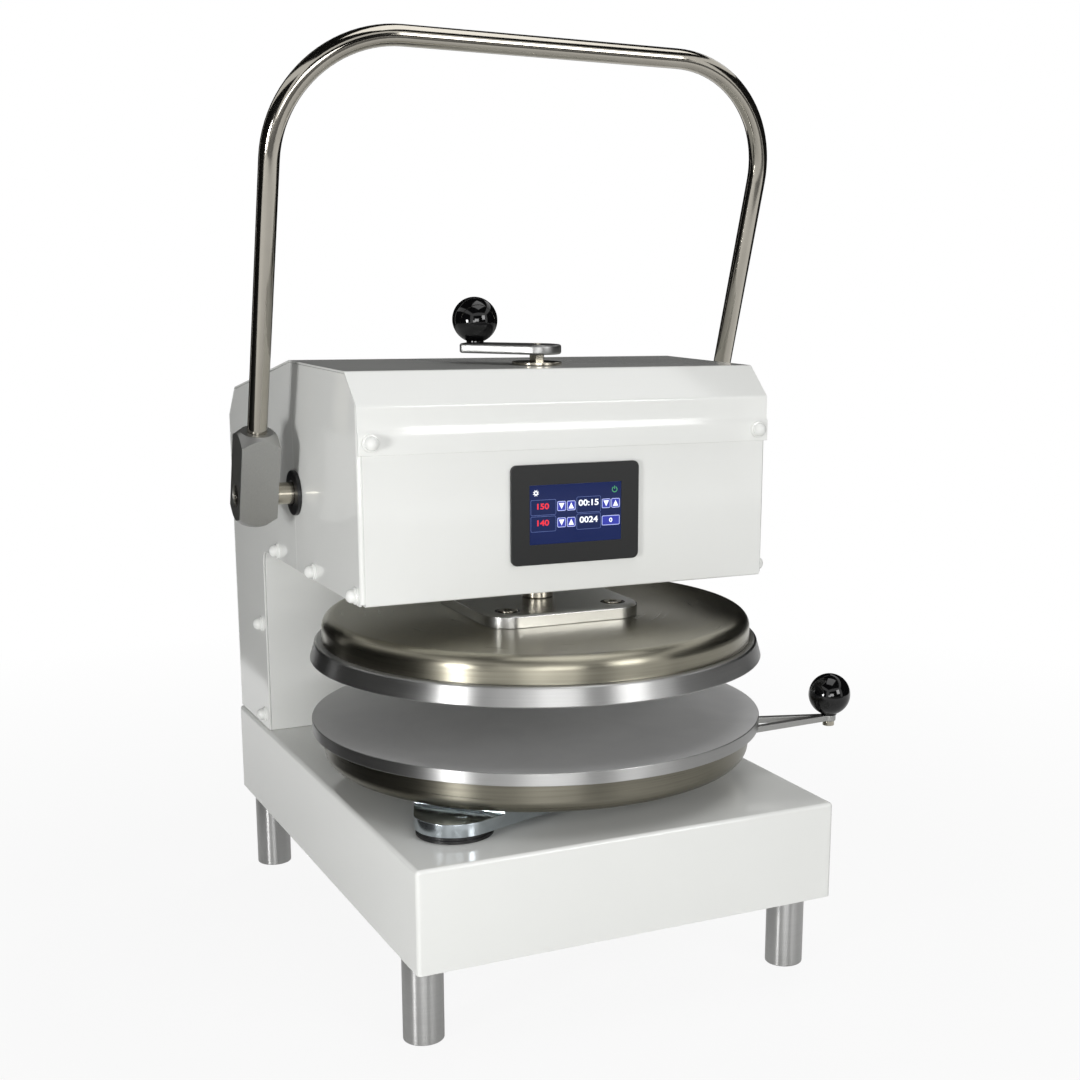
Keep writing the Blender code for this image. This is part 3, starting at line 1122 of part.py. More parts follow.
def make_swing(root):
    """The swing-out half: pivot, carrier arm, pan, platen and heater, and the forked pull handle."""
    pivot = empty("swing_axis", root, (-PIVOT_X, -PIVOT_Y, 0.0))
    arm_low = WASHER_THICKNESS + 2 * SEAT_GAP
    arm_top = arm_low + ARM_END_THICKNESS
    reach = math.hypot(PIVOT_X, PIVOT_Y)
    aim = math.atan2(PIVOT_Y, PIVOT_X)
    flare = math.asin((ARM_CARRIER_RADIUS - ARM_END_RADIUS) / reach)
    quarter = math.pi / 2
    around = arc((0.0, 0.0), ARM_END_RADIUS, quarter + flare, 3 * quarter - flare, END_STEPS)
    carrier = arc((reach, 0.0), ARM_CARRIER_RADIUS, -quarter - flare, quarter + flare, CARRIER_STEPS)
    slab = prism("swing_arm", around + carrier, arm_low, PAN_BOTTOM - SEAT_GAP, "Z")
    arm = place(slab, pivot, ZINC_PLATE, rotation=(0.0, 0.0, aim))
    edge = ARM_END_RADIUS + ARM_CARRIER_RADIUS
    cut(arm, block(
        "step", (-edge, -edge, arm_top), (ARM_STEP_OFFSET, edge, PAN_BOTTOM + CUT_OVERRUN)
    ))
    bore_top = arm_top - PIVOT_HEAD
    cut(arm, rod("pivot_bore", PIVOT_RADIUS + BUSH_CLEARANCE, arm_low - CUT_OVERRUN, bore_top))

    fixed = empty("pivot_seat", root, (-PIVOT_X, -PIVOT_Y, 0.0))
    flange_top = -SHEET - SEAT_GAP - PIVOT_PLATE_THICKNESS - SEAT_GAP
    post = [
        (0.0, flange_top - PIVOT_FLANGE_THICKNESS),
        (PIVOT_FLANGE_RADIUS, flange_top - PIVOT_FLANGE_THICKNESS),
        (PIVOT_FLANGE_RADIUS, flange_top),
        (PIVOT_RADIUS, flange_top),
        (PIVOT_RADIUS, bore_top - SEAT_GAP),
        (0.0, bore_top - SEAT_GAP),
    ]
    place(turned("pivot_post", post), fixed, MACHINED_STEEL)
    low, groove = SEAT_GAP, WASHER_THICKNESS / 2
    bore = PIVOT_RADIUS + BUSH_CLEARANCE
    washer = [
        (bore, low),
        (WASHER_RADIUS, low),
        (WASHER_RADIUS, groove),
        (WASHER_RADIUS - WASHER_STEP, groove),
        (WASHER_RADIUS - WASHER_STEP, low + WASHER_THICKNESS),
        (bore, low + WASHER_THICKNESS),
    ]
    place(turned("pivot_washer", washer, closed=True), fixed, BLACK_PLASTIC)
    margin = PIVOT_PLATE_MARGIN
    plate_low = -SHEET - SEAT_GAP - PIVOT_PLATE_THICKNESS
    right = FRAME_GAP / 2 + FRAME_THICKNESS
    toe = FRAME_TOE_Y + PIVOT_Y
    plate = place(block(
        "pivot_plate",
        (-margin, toe, plate_low),
        (right + PIVOT_X, margin, -SHEET - SEAT_GAP),
    ), fixed, MACHINED_STEEL)
    cut(plate, rod("post_hole", PIVOT_RADIUS + SEAT_GAP, plate_low - CUT_OVERRUN, CUT_OVERRUN))

    stop_reach = ARM_CARRIER_RADIUS + SEAT_GAP + STOP_RADIUS
    stop_angle = aim + math.pi / 2
    stop = (stop_reach * math.cos(stop_angle), stop_reach * math.sin(stop_angle), 0.0)
    bumper = ring("swing_stop", STOP_BORE_RADIUS, STOP_RADIUS, SEAT_GAP, arm_top, SMALL_STEPS)
    place(bumper, root, BLACK_RUBBER, stop)
    rest = ARM_CARRIER_RADIUS * REST_PAD_SHARE
    spot = (rest * math.cos(aim), rest * math.sin(aim), 0.0)
    pad = rod("rest_pad", REST_PAD_RADIUS, SEAT_GAP, arm_low - SEAT_GAP, SMALL_STEPS)
    place(pad, root, BLACK_RUBBER, spot)

    centre = (PIVOT_X, PIVOT_Y, 0.0)
    plate_low = LOWER_PLATEN_TOP - LOWER_PLATEN_THICKNESS
    lip = plate_low - SEAT_GAP
    corner = (PAN_RADIUS - DISH_FILLET, PAN_BOTTOM + DISH_FILLET)
    outer = [(0.0, PAN_BOTTOM), *arc(corner, DISH_FILLET, -math.pi / 2, 0.0, ARC_STEPS), (PAN_RADIUS, lip)]
    pan = turned("lower_pan", sheet(outer, DISH_SHEET), BIG_STEPS, closed=True)
    place(pan, pivot, BRUSHED_STAINLESS, centre)
    platen = [
        (0.0, plate_low),
        (PLATEN_RADIUS - EDGE_CHAMFER / 2, plate_low),
        (PLATEN_RADIUS, plate_low + EDGE_CHAMFER / 2),
        (PLATEN_RADIUS, LOWER_PLATEN_TOP - EDGE_CHAMFER / 2),
        (PLATEN_RADIUS - EDGE_CHAMFER / 2, LOWER_PLATEN_TOP),
        (0.0, LOWER_PLATEN_TOP),
    ]
    place(turned("lower_platen", platen, BIG_STEPS), pivot, MACHINED_ALUMINIUM, centre)
    place(ring(
        "lower_heater", HEATER_INNER, HEATER_OUTER, lip - HEATER_THICKNESS, lip
    ), pivot, MICA_HEATER, centre)
    make_fork(pivot)


def first_meeting(point, along, radius):
    """Where a line from this point first meets a circle about the origin."""
    nearest = point.dot(along)
    return point - along * (nearest + math.sqrt(nearest ** 2 - point.length_squared + radius ** 2))


def fork_outline():
    """Seen from above, about the platen's axis: two flat bars from the pan's wall, meeting in a round eye."""
    apex = Vector((FORK_APEX_X, FORK_APEX_Y))
    half = FORK_BAR_WIDTH / 2
    neck = math.asin(half / FORK_EYE_RADIUS)
    ends = []
    turns = []
    for root, outer_side in (
        (Vector((FORK_UPPER_ROOT_X, FORK_UPPER_ROOT_Y)), -1),
        (Vector((FORK_LOWER_ROOT_X, FORK_LOWER_ROOT_Y)), 1),
    ):
        along = (root - apex).normalized()
        across = Vector((-along.y, along.x)) * half * outer_side
        turns.append(math.atan2(along.y, along.x) + neck * outer_side)
        ends.append([first_meeting(apex + across * side, along, PAN_RADIUS + SEAT_GAP) for side in (1, -1)])
    # Both turns are counted from the same side, and the eye is passed round its outside
    start, stop = turns[0], turns[1] % (2 * math.pi) - 2 * math.pi
    spread = (turns[1] % (2 * math.pi) - neck - (turns[0] + neck)) / 2
    middle = turns[0] + neck + spread
    reach = half / math.sin(spread)
    crotch = apex + Vector((math.cos(middle), math.sin(middle))) * reach
    eye = arc(apex, FORK_EYE_RADIUS, start, stop, END_STEPS)
    upper_ends, lower_ends = ends
    path = [crotch, upper_ends[1], upper_ends[0], *eye, lower_ends[0], lower_ends[1]]
    return [tuple(point) for point in path]


def make_fork(pivot):
    """The fork welded to the pan's wall, and the ball knob bolted on from below."""
    to_centre = (PIVOT_X, PIVOT_Y, 0.0)
    apex = (PIVOT_X + FORK_APEX_X, PIVOT_Y + FORK_APEX_Y, 0.0)
    low = FORK_TOP - FORK_BAR_HEIGHT
    fork = place(prism("swing_fork", fork_outline(), low, FORK_TOP, "Z"), pivot, MACHINED_STEEL, to_centre)
    hole = rod(
        "bolt_hole", KNOB_BOLT_RADIUS + SEAT_GAP, low - CUT_OVERRUN, FORK_TOP + CUT_OVERRUN, SMALL_STEPS
    )
    cut(fork, hole, (FORK_APEX_X, FORK_APEX_Y, 0.0))
    place(ball_knob("swing_knob"), pivot, BLACK_PLASTIC, (apex[0], apex[1], FORK_TOP + SEAT_GAP))
    head_low = low - SEAT_GAP - KNOB_BOLT_HEAD_HEIGHT
    bolt = [
        (0.0, head_low),
        (KNOB_BOLT_HEAD_RADIUS, head_low),
        (KNOB_BOLT_HEAD_RADIUS, low - SEAT_GAP),
        (KNOB_BOLT_RADIUS, low - SEAT_GAP),
        (KNOB_BOLT_RADIUS, FORK_TOP + KNOB_SOCKET_DEPTH - SEAT_GAP),
        (0.0, FORK_TOP + KNOB_SOCKET_DEPTH - SEAT_GAP),
    ]
    place(turned("swing_knob_bolt", bolt, SMALL_STEPS), pivot, MACHINED_STEEL, apex)


def make_gland(root):
    """The cable inlet low on the rear cover."""
    start = SEAT_GAP
    bore = GLAND_BARREL_RADIUS / 2
    profile = [
        (bore, -SHEET - FRAME_CLEARANCE),
        (GLAND_BARREL_RADIUS, -SHEET - FRAME_CLEARANCE),
        (GLAND_BARREL_RADIUS, start),
        (GLAND_RADIUS, start),
        (GLAND_RADIUS, GLAND_REACH / 2),
        (GLAND_BARREL_RADIUS, GLAND_REACH),
        (bore, GLAND_REACH),
    ]
    gland = turned("cable_gland", profile, SMALL_STEPS, closed=True, axis="Y")
    place(gland, root, BLACK_PLASTIC, (GLAND_X, BASE_BACK_Y, GLAND_Z))


def main():
    for old in list(bpy.data.objects):
        bpy.data.objects.remove(old, do_unlink=True)
    root = empty("press", location=(-ORIGIN_X, -ORIGIN_Y, BASE_HEIGHT + LEG_LENGTH))
    make_base(root)
    make_sides(root)
    make_covers(root)
    make_display(root)
    make_frame(root)
    make_head_works(root)
    make_bearings(root)
    make_handle(root)
    line = make_crosshead(root)
    make_upper_platen(line)
    make_crank(root)
    make_swing(root)
    make_gland(root)


main()
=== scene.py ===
"""Heated dough press: the fine pieces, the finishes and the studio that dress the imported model."""

import math

import bmesh
import bpy
from mathutils import Matrix, Vector


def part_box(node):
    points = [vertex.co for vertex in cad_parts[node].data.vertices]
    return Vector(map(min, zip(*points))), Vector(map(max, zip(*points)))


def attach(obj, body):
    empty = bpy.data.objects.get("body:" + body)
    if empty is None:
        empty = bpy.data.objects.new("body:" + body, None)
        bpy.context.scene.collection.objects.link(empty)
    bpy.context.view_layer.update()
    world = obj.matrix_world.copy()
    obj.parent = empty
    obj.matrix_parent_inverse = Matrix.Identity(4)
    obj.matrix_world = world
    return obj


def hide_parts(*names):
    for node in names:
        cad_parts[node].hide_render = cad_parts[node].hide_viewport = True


bl_info = {
    "name": "Heated dough press",
    "version": (1, 0, 0),
    "blender": (4, 5, 0),
    "location": "View3D > Sidebar > Dough press",
    "description": "Builds the fine pieces and finishes of a heated dough press round its packed model",
    "category": "Object",
}

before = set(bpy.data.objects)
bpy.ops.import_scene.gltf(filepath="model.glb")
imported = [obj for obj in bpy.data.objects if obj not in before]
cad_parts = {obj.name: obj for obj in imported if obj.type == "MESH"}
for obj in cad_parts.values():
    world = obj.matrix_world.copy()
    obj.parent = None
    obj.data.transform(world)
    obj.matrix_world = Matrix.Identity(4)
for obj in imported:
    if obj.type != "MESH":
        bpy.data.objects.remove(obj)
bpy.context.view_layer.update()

MM = 0.001
TURN = 2 * math.pi
QUARTER = math.pi / 2
ZERO = (0.0, 0.0, 0.0)
UP = (0.0, 0.0, 1.0)
SIDES = (("left", -1), ("right", 1))
# What stays open between a piece and its seat, and how far a cutting tool reaches past the face it cuts
SEAT_GAP = 0.3 * MM
CUT_OVERRUN = MM


def middle(node):
    low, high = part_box(node)
    return (low + high) / 2


def over(centre, height=0.0):
    """The spot above or under a centre, at a height over the floor."""
    return centre.x, centre.y, height


PLATEN_AXIS = middle("upper_platen")
SHAFT_AXIS = middle("cross_shaft")

# What a user may change


def linear(hex_colour):
    """An sRGB hex colour as the linear red, green and blue that the shaders take."""
    channels = [int(hex_colour[i:i + 2], 16) / 255 for i in (1, 3, 5)]
    return [c / 12.92 if c <= 0.04045 else ((c + 0.055) / 1.055) ** 2.4 for c in channels]


def length(name, text, millimetres):
    return bpy.props.FloatProperty(name=name, description=text, default=millimetres * MM, unit="LENGTH")


def facets(name, text, count):
    return bpy.props.IntProperty(name=name, description=f"Facets round {text}", default=count, min=12)


def tint(name, text, hex_colour):
    return bpy.props.FloatVectorProperty(
        name=name, description=f"Colour of the {text}", default=linear(hex_colour), subtype="COLOR", size=3
    )


def watts(name, text, power):
    return bpy.props.FloatProperty(
        name=name, description=f"Power of the lamp {text}, in watts", default=power, unit="POWER"
    )


class PressSizes(bpy.types.PropertyGroup):
    edge_round: length("Sheet edge", "Rounding of the cut edges of the coated sheets and the fork", 0.5)
    turning_steps: facets("Turning steps", "the platens and their covers", 160)
    small_steps: facets("Small turning steps", "the cross shaft, its bearings and the ram", 48)
    tube_sides: facets("Tube sides", "the handle's tube", 40)
    tube_diameter: length("Tube diameter", "Outside diameter of the handle's tube", 19)
    handle_bend: length("Handle bend", "Radius of the handle's two bends, to the tube's middle", 115)
    handle_reach: length("Handle reach", "From the cross shaft to the middle of the handle's top bar", 447)
    handle_lean: bpy.props.FloatProperty(
        name="Handle lean", description="How far the raised handle leans to the front",
        default=math.radians(18.0), subtype="ANGLE",
    )
    ball_diameter: length("Ball diameter", "Diameter of both ball knobs", 44.4)
    digit_height: length("Digit height", "Height of the numbers on the screen", 5.6)


class PressFinishes(bpy.types.PropertyGroup):
    coat: tint("Powder coat", "coated sheets", "#ECEDEA")
    coat_roughness: bpy.props.FloatProperty(
        name="Coat roughness", description="Roughness of the powder coat", default=0.06, subtype="FACTOR"
    )
    stainless: tint("Stainless", "dished covers", "#A09C8D")
    aluminium: tint("Aluminium", "machined aluminium", "#B4B4B3")
    knob: tint("Knobs", "ball knobs", "#0B0B0C")
    screen: tint("Screen", "lit screen", "#1B2A60")


class PressStudio(bpy.types.PropertyGroup):
    key_power: watts("Key light", "before the press", 20.0)
    top_power: watts("Top light", "over the press", 16.0)
    fill_power: watts("Fill light", "low before the press", 13.0)
    low_power: watts("Throat light", "that shines into the throat", 4.0)
    left_power: watts("Left light", "at the left", 15.0)
    back_power: watts("Back light", "behind the press", 22.0)
    ambient: bpy.props.FloatProperty(
        name="Ambient", description="Strength of the light from all round", default=0.16, subtype="FACTOR"
    )
    lens: bpy.props.FloatProperty(
        name="Lens", description="The camera's focal length in millimetres", default=54.345, unit="CAMERA"
    )


# Modelling helpers


def clear_selection():
    if bpy.context.object and bpy.context.object.mode != "OBJECT":
        bpy.ops.object.mode_set(mode="OBJECT")
    bpy.ops.object.select_all(action="DESELECT")


def choose(obj):
    clear_selection()
    obj.select_set(True)
    bpy.context.view_layer.objects.active = obj


def name_piece(name):
    obj = bpy.context.object
    obj.name = obj.data.name = name
    return obj


def discard(obj):
    mesh = obj.data
    bpy.data.objects.remove(obj)
    bpy.data.meshes.remove(mesh)


def edit_all():
    """Goes into edit mode with all points selected."""
    bpy.ops.object.mode_set(mode="EDIT")
    bpy.ops.mesh.select_mode(type="VERT")
    bpy.ops.mesh.select_all(action="SELECT")


def close_mesh():
    """Merges the points that meet, turns all faces outwards and leaves edit mode."""
    bpy.ops.mesh.select_all(action="SELECT")
    bpy.ops.mesh.remove_doubles(threshold=0.001 * MM)
    bpy.ops.mesh.normals_make_consistent(inside=False)
    bpy.ops.object.mode_set(mode="OBJECT")


def modify(obj, kind, **settings):
    """Adds a modifier with its settings and applies it."""
    choose(obj)
    modifier = obj.modifiers.new("step", kind)
    for key, value in settings.items():
        setattr(modifier, key, value)
    bpy.ops.object.modifier_apply(modifier=modifier.name)


def pick_edges(obj, test):
    """In edit mode, selects the edges whose middle passes the test, and no others."""
    bpy.ops.mesh.select_mode(type="EDGE")
    bpy.ops.mesh.select_all(action="DESELECT")
    mesh = bmesh.from_edit_mesh(obj.data)
    for edge in mesh.edges:
        if test((edge.verts[0].co + edge.verts[1].co) / 2):
            edge.select_set(True)
    mesh.select_flush_mode()
    bmesh.update_edit_mesh(obj.data)


def arc(centre, radius, start, stop, steps):
    """Points on a circle, between two angles in degrees."""
    angles = [math.radians(start + (stop - start) * i / steps) for i in range(steps + 1)]
    return [(centre[0] + radius * math.cos(a), centre[1] + radius * math.sin(a)) for a in angles]


def rounded(width, height, radius, steps):
    """A rectangle with round corners about the origin, counter-clockwise."""
    u, v = width / 2 - radius, height / 2 - radius
    corners = (((u, -v), -90), ((u, v), 0), ((-u, v), 90), ((-u, -v), 180))
    return [point for spot, start in corners for point in arc(spot, radius, start, start + 90, steps)]


def drawn(name, points):
    """A small square merged to one point, and drawn on from point to point by extruding."""
    clear_selection()
    bpy.ops.mesh.primitive_plane_add(size=MM, location=ZERO)
    obj = name_piece(name)
    edit_all()
    bpy.ops.mesh.merge(type="CENTER")
    bpy.ops.transform.translate(value=points[0])
    for before, after in zip(points, points[1:]):
        step = [b - a for a, b in zip(before, after)]
        bpy.ops.mesh.extrude_vertices_move(TRANSFORM_OT_translate={"value": step})
    bpy.ops.mesh.select_all(action="SELECT")
    return obj


def turned(name, profile, steps):
    """A profile of (radius, height), spun all the way round Z."""
    obj = drawn(name, [(radius, 0.0, height) for radius, height in profile])
    bpy.ops.mesh.spin(steps=steps, angle=TURN, center=ZERO, axis=UP)
    close_mesh()
    return obj


def cut_plate(name, outline, low, high):
    """A flat plate: its outline filled and extruded up."""
    obj = drawn(name, [(x, y, low) for x, y in outline])
    bpy.ops.mesh.edge_face_add()
    bpy.ops.mesh.extrude_region_move(TRANSFORM_OT_translate={"value": (0.0, 0.0, high - low)})
    close_mesh()
    return obj


def bar(name, radius, low, high, sides):
    """A plain round or many-sided bar along Z, for cutting with."""
    clear_selection()
    bpy.ops.mesh.primitive_cylinder_add(
        vertices=sides, radius=radius, depth=high - low, location=(0.0, 0.0, (low + high) / 2)
    )
    return name_piece(name)


def block(name, size, spot):
    """A plain block with its middle at the spot."""
    clear_selection()
    bpy.ops.mesh.primitive_cube_add(size=1.0, location=spot)
    obj = name_piece(name)
    obj.scale = size
    bpy.ops.object.transform_apply(location=True, rotation=True, scale=True)
    return obj


def settle(obj, spot=ZERO, turn=ZERO):
    """Turns a finished shape, moves it to its place and leaves its object at the origin."""
    choose(obj)
    obj.location = Vector(obj.location) + Vector(spot)
    obj.rotation_euler = turn
    bpy.ops.object.transform_apply(location=True, rotation=True, scale=True)


def rounded_edges(obj, width, segments=2, angle=40.0):
    modify(obj, "BEVEL", width=width, segments=segments, limit_method="ANGLE",
           angle_limit=math.radians(angle), use_clamp_overlap=True)


def carve(obj, tool, operation="DIFFERENCE"):
    """Cuts one shape with another, or keeps what they share, and removes the tool."""
    modify(obj, "BOOLEAN", operation=operation, solver="EXACT", object=tool)
    discard(tool)


def copied(obj, name, spot, turn=ZERO):
    """Another of the same piece with its own mesh, turned about the origin and moved."""
    choose(obj)
    bpy.ops.object.duplicate(linked=False)
    other = name_piece(name)
    settle(other, spot, turn)
    return other


def hand_over(obj, body, finish, *nodes, angle=32.0):
    """Shades a piece, gives it its finish, ties it to the press, and lets it stand for its nodes."""
    choose(obj)
    bpy.ops.object.shade_smooth_by_angle(angle=math.radians(angle))
    modify(obj, "WEIGHTED_NORMAL", keep_sharp=True)
    obj.data.materials.clear()
    obj.data.materials.append(finish_called(finish))
    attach(obj, body)
    if nodes:
        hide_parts(*nodes)
    return obj


def turn_piece(name, profile, steps, spot, body, finish, *nodes, turn=ZERO):
    """Turns a piece from its profile, settles it and hands it over."""
    piece = turned(name, profile, steps)
    settle(piece, spot, turn)
    return hand_over(piece, body, finish, *nodes)


def sheet_copy(node, name, edge):
    """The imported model's sheet, merged and with its cut edges rounded, to stand for it."""
    clear_selection()
    obj = bpy.data.objects.new(name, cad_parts[node].data.copy())
    obj.data.name = name
    bpy.context.scene.collection.objects.link(obj)
    choose(obj)
    edit_all()
    bpy.ops.mesh.remove_doubles(threshold=0.005 * MM)
    bpy.ops.mesh.dissolve_limited(angle_limit=math.radians(0.5))
    close_mesh()
    rounded_edges(obj, edge, 2, 50.0)
    return obj


# Finishes


def add(tree, kind, inputs=None, **settings):
    """Adds a node with its settings, and with each input set to a value or linked to a socket."""
    node = tree.nodes.new(kind)
    for key, value in settings.items():
        setattr(node, key, value)
    for key, value in (inputs or {}).items():
        if isinstance(value, bpy.types.NodeSocket):
            tree.links.new(value, node.inputs[key])
        else:
            node.inputs[key].default_value = value
    return node


def new_finish(name, **values):
    """A material with constants on its shader's own sockets, and the piece's own coordinates."""
    material = bpy.data.materials.new(name)
    material.use_nodes = True
    tree = material.node_tree
    shader = tree.nodes["Principled BSDF"]
    for key, value in values.items():
        socket = shader.inputs[key.replace("_", " ").title().replace("Ior", "IOR")]
        socket.default_value = (*value, 1.0) if hasattr(value, "__len__") else value
    coordinates = add(tree, "ShaderNodeTexCoord").outputs["Object"]
    return material, tree, shader, coordinates


def vary(tree, shader, fac, shades, roughness):
    """Lets one pattern move the colour between two shades, and the roughness between two values."""
    dark, light = shades
    shade = add(tree, "ShaderNodeMix", {"Factor": fac, 6: (*dark, 1.0), 7: (*light, 1.0)}, data_type="RGBA")
    tree.links.new(shade.outputs[2], shader.inputs["Base Color"])
    rough = add(tree, "ShaderNodeMapRange", {"Value": fac, "To Min": roughness[0], "To Max": roughness[1]})
    tree.links.new(rough.outputs["Result"], shader.inputs["Roughness"])


def raise_pattern(tree, shader, fac, strength, millimetres):
    bump = add(tree, "ShaderNodeBump", {"Height": fac, "Strength": strength, "Distance": millimetres * MM})
    tree.links.new(bump.outputs["Normal"], shader.inputs["Normal"])


def scaled(colour, factor):
    return [min(1.0, c * factor) for c in colour]


def between(dark, light):
    """Two shades from their hex colours."""
    return linear(dark), linear(light)


def around(colour, low, high):
    """Two shades of one colour, as shares of it."""
    return scaled(colour, low), scaled(colour, high)


def grained(name, shades, roughness, grain, detail=2.0, bump=None, relief=None, distortion=0.0, **values):
    """A finish with one soft pattern, whose grain is in millimetres.

    A drawn out grain has a size along each axis. The bump is how strongly and how high the pattern stands
    out, and relief is the grain and detail of a second pattern that the bump follows instead."""
    material, tree, shader, spot = new_finish(name, **values)
    if isinstance(grain, tuple):
        scale = [1 / (size * MM) for size in grain]
        spot = add(tree, "ShaderNodeMapping", {"Vector": spot, "Scale": scale}).outputs["Vector"]
        grain = 1 / MM
    pattern = add(tree, "ShaderNodeTexNoise", {
        "Vector": spot, "Scale": 1 / (grain * MM), "Detail": detail, "Distortion": distortion
    })
    vary(tree, shader, pattern.outputs["Fac"], shades, roughness)
    if relief:
        size, detail = relief
        finer = {"Vector": spot, "Scale": 1 / (size * MM), "Detail": detail}
        pattern = add(tree, "ShaderNodeTexNoise", finer)
    if bump:
        raise_pattern(tree, shader, pattern.outputs["Fac"], *bump)
    return material


def draw_out(material):
    """Draws the light out up and down, as fine grooves round an upright piece do."""
    tree = material.node_tree
    shader = tree.nodes["Principled BSDF"]
    shader.inputs["Anisotropic"].default_value = 0.9
    upright = add(tree, "ShaderNodeCombineXYZ", {"X": 0.02, "Y": 0.01, "Z": 1.0})
    tree.links.new(upright.outputs["Vector"], shader.inputs["Tangent"])


def draw_across_circles(tree, shader, about_axis):
    """Draws the light out across the circles that spinning leaves, into a fan about the upright axis."""
    shader.inputs["Anisotropic"].default_value = 0.8
    shader.inputs["Anisotropic Rotation"].default_value = 0.25
    along = add(tree, "ShaderNodeVectorMath", {0: UP, 1: about_axis}, operation="CROSS_PRODUCT")
    placed = add(tree, "ShaderNodeVectorTransform", {"Vector": along.outputs["Vector"]},
                 vector_type="VECTOR", convert_from="OBJECT", convert_to="WORLD")
    tree.links.new(placed.outputs["Vector"], shader.inputs["Tangent"])


def round_lines(name, shades, roughness, rise, line, streak, detail, bump):
    """A metal with fine circles about the platens' axis, as spinning and turning leave.

    The rise is how a height counts beside a radius, the line is the circles' width in millimetres, and the
    streak is how soon a circle changes along its length."""
    material, tree, shader, spot = new_finish(name, metallic=1.0)
    to_axis = (-PLATEN_AXIS.x, -PLATEN_AXIS.y, 0.0)
    moved = add(tree, "ShaderNodeMapping", {"Vector": spot, "Location": to_axis})
    parts = add(tree, "ShaderNodeSeparateXYZ", {"Vector": moved.outputs["Vector"]})
    flat = add(tree, "ShaderNodeCombineXYZ", {"X": parts.outputs["X"], "Y": parts.outputs["Y"]})
    radius = add(tree, "ShaderNodeVectorMath", {0: flat.outputs["Vector"]}, operation="LENGTH")
    toward = add(tree, "ShaderNodeVectorMath", {0: flat.outputs["Vector"]}, operation="NORMALIZE")
    climb = add(tree, "ShaderNodeMath", {
        0: parts.outputs["Z"], 1: rise, 2: radius.outputs["Value"]
    }, operation="MULTIPLY_ADD")
    per_line = {0: climb.outputs["Value"], 1: 1 / (line * MM)}
    wound = {"Z": add(tree, "ShaderNodeMath", per_line, operation="MULTIPLY").outputs["Value"]}
    ring = add(tree, "ShaderNodeSeparateXYZ", {"Vector": toward.outputs["Vector"]})
    for axis in ("X", "Y"):
        along = add(tree, "ShaderNodeMath", {0: ring.outputs[axis], 1: streak}, operation="MULTIPLY")
        wound[axis] = along.outputs["Value"]
    wound = add(tree, "ShaderNodeCombineXYZ", wound).outputs["Vector"]
    fine = add(tree, "ShaderNodeTexNoise", {"Vector": wound, "Scale": 1.0, "Detail": detail})
    vary(tree, shader, fine.outputs["Fac"], shades, roughness)
    raise_pattern(tree, shader, fine.outputs["Fac"], *bump)
    return material, tree, shader, moved.outputs["Vector"]


def powder_coat():
    """Gloss white polyester powder coat on steel: even and bright, with a faint orange peel in its gloss."""
    own = bpy.context.scene.press_finishes
    gloss = (own.coat_roughness - 0.02, own.coat_roughness + 0.04)
    return grained("powder_coat", around(own.coat, 0.97, 1.02), gloss, 140, bump=(0.06, 0.03),
                   relief=(2.2, 1.0), ior=1.5)


def spun_stainless(name, rise, shade):
    """Spun and brushed stainless sheet: warm grey, with circles that smear its reflections.

    The circles are drawn coarser than a spinner's roller leaves them, so that they show."""
    # A shade below 1 darkens both shades of the sheet: painted shade for dark surroundings that it mirrors.
    shades = around(bpy.context.scene.press_finishes.stainless, 0.7 * shade, 1.2 * shade)
    material, tree, shader, about_axis = round_lines(
        name, shades, (0.22, 0.4), rise, line=2.2, streak=2.0, detail=4.0, bump=(0.08, 0.02)
    )
    draw_across_circles(tree, shader, about_axis)
    return material


def dish_stainless():
    """The upper dish's bright spun sheet, whose circles run down its wall."""
    return spun_stainless("spun_stainless_dish", -1.0, 1.0)


def pan_stainless():
    """The pan's spun sheet, painted darker as shade for the shadowed base under the platen that it mirrors,
    whose circles run up its wall.
    """
    return spun_stainless("spun_stainless_pan", 1.0, 0.6)


def turned_aluminium():
    """Turned aluminium of the platens' rims: bright grey, with circles drawn coarse enough to show."""
    shades = around(bpy.context.scene.press_finishes.aluminium, 0.95, 1.15)
    material = round_lines(
        "turned_aluminium", shades, (0.32, 0.44), 1.0, line=0.7, streak=3.0, detail=2.0, bump=(0.15, 0.02)
    )[0]
    draw_out(material)
    return material


def sanded_platen():
    """The lower platen's sanded and seasoned face: dull even grey, with faint smears and a soft grain."""
    return grained("sanded_platen", between("#CACACA", "#DADAD9"), (0.44, 0.56), 60, 5.0, bump=(0.1, 0.03),
                   relief=(1.5, 2.0), distortion=1.2, metallic=0.15)


def bright_legs():
    """Turned aluminium of the legs: bright, with circles that draw the light out into upright streaks.

    The circles are drawn coarser than the lathe's, so that they show."""
    shades = around(bpy.context.scene.press_finishes.aluminium, 1.1, 1.25)
    material = grained("turned_leg_aluminium", shades, (0.26, 0.32), (30, 30, 1.6), bump=(0.06, 0.02),
                       metallic=1.0)
    draw_out(material)
    return material


def milled_aluminium():
    """Milled aluminium of the mounting plate: bright satin, its tool grain drawn coarse enough to show."""
    shades = around(bpy.context.scene.press_finishes.aluminium, 1.2, 1.45)
    return grained("milled_aluminium", shades, (0.2, 0.3), (25, 0.6, 0.6), bump=(0.1, 0.02), metallic=1.0)


def brushed_arm():
    """Brushed aluminium of the crank arm: grey satin, partly painted shade, with a straight grain drawn
    coarse enough to show.
    """
    # The shares under 1 darken the aluminium as painted shade, for the dark surroundings that the arm's face
    # mirrors.
    shades = around(bpy.context.scene.press_finishes.aluminium, 0.55, 0.75)
    return grained("brushed_aluminium", shades, (0.3, 0.4), (20, 1, 0.8), bump=(0.15, 0.02), metallic=1.0)


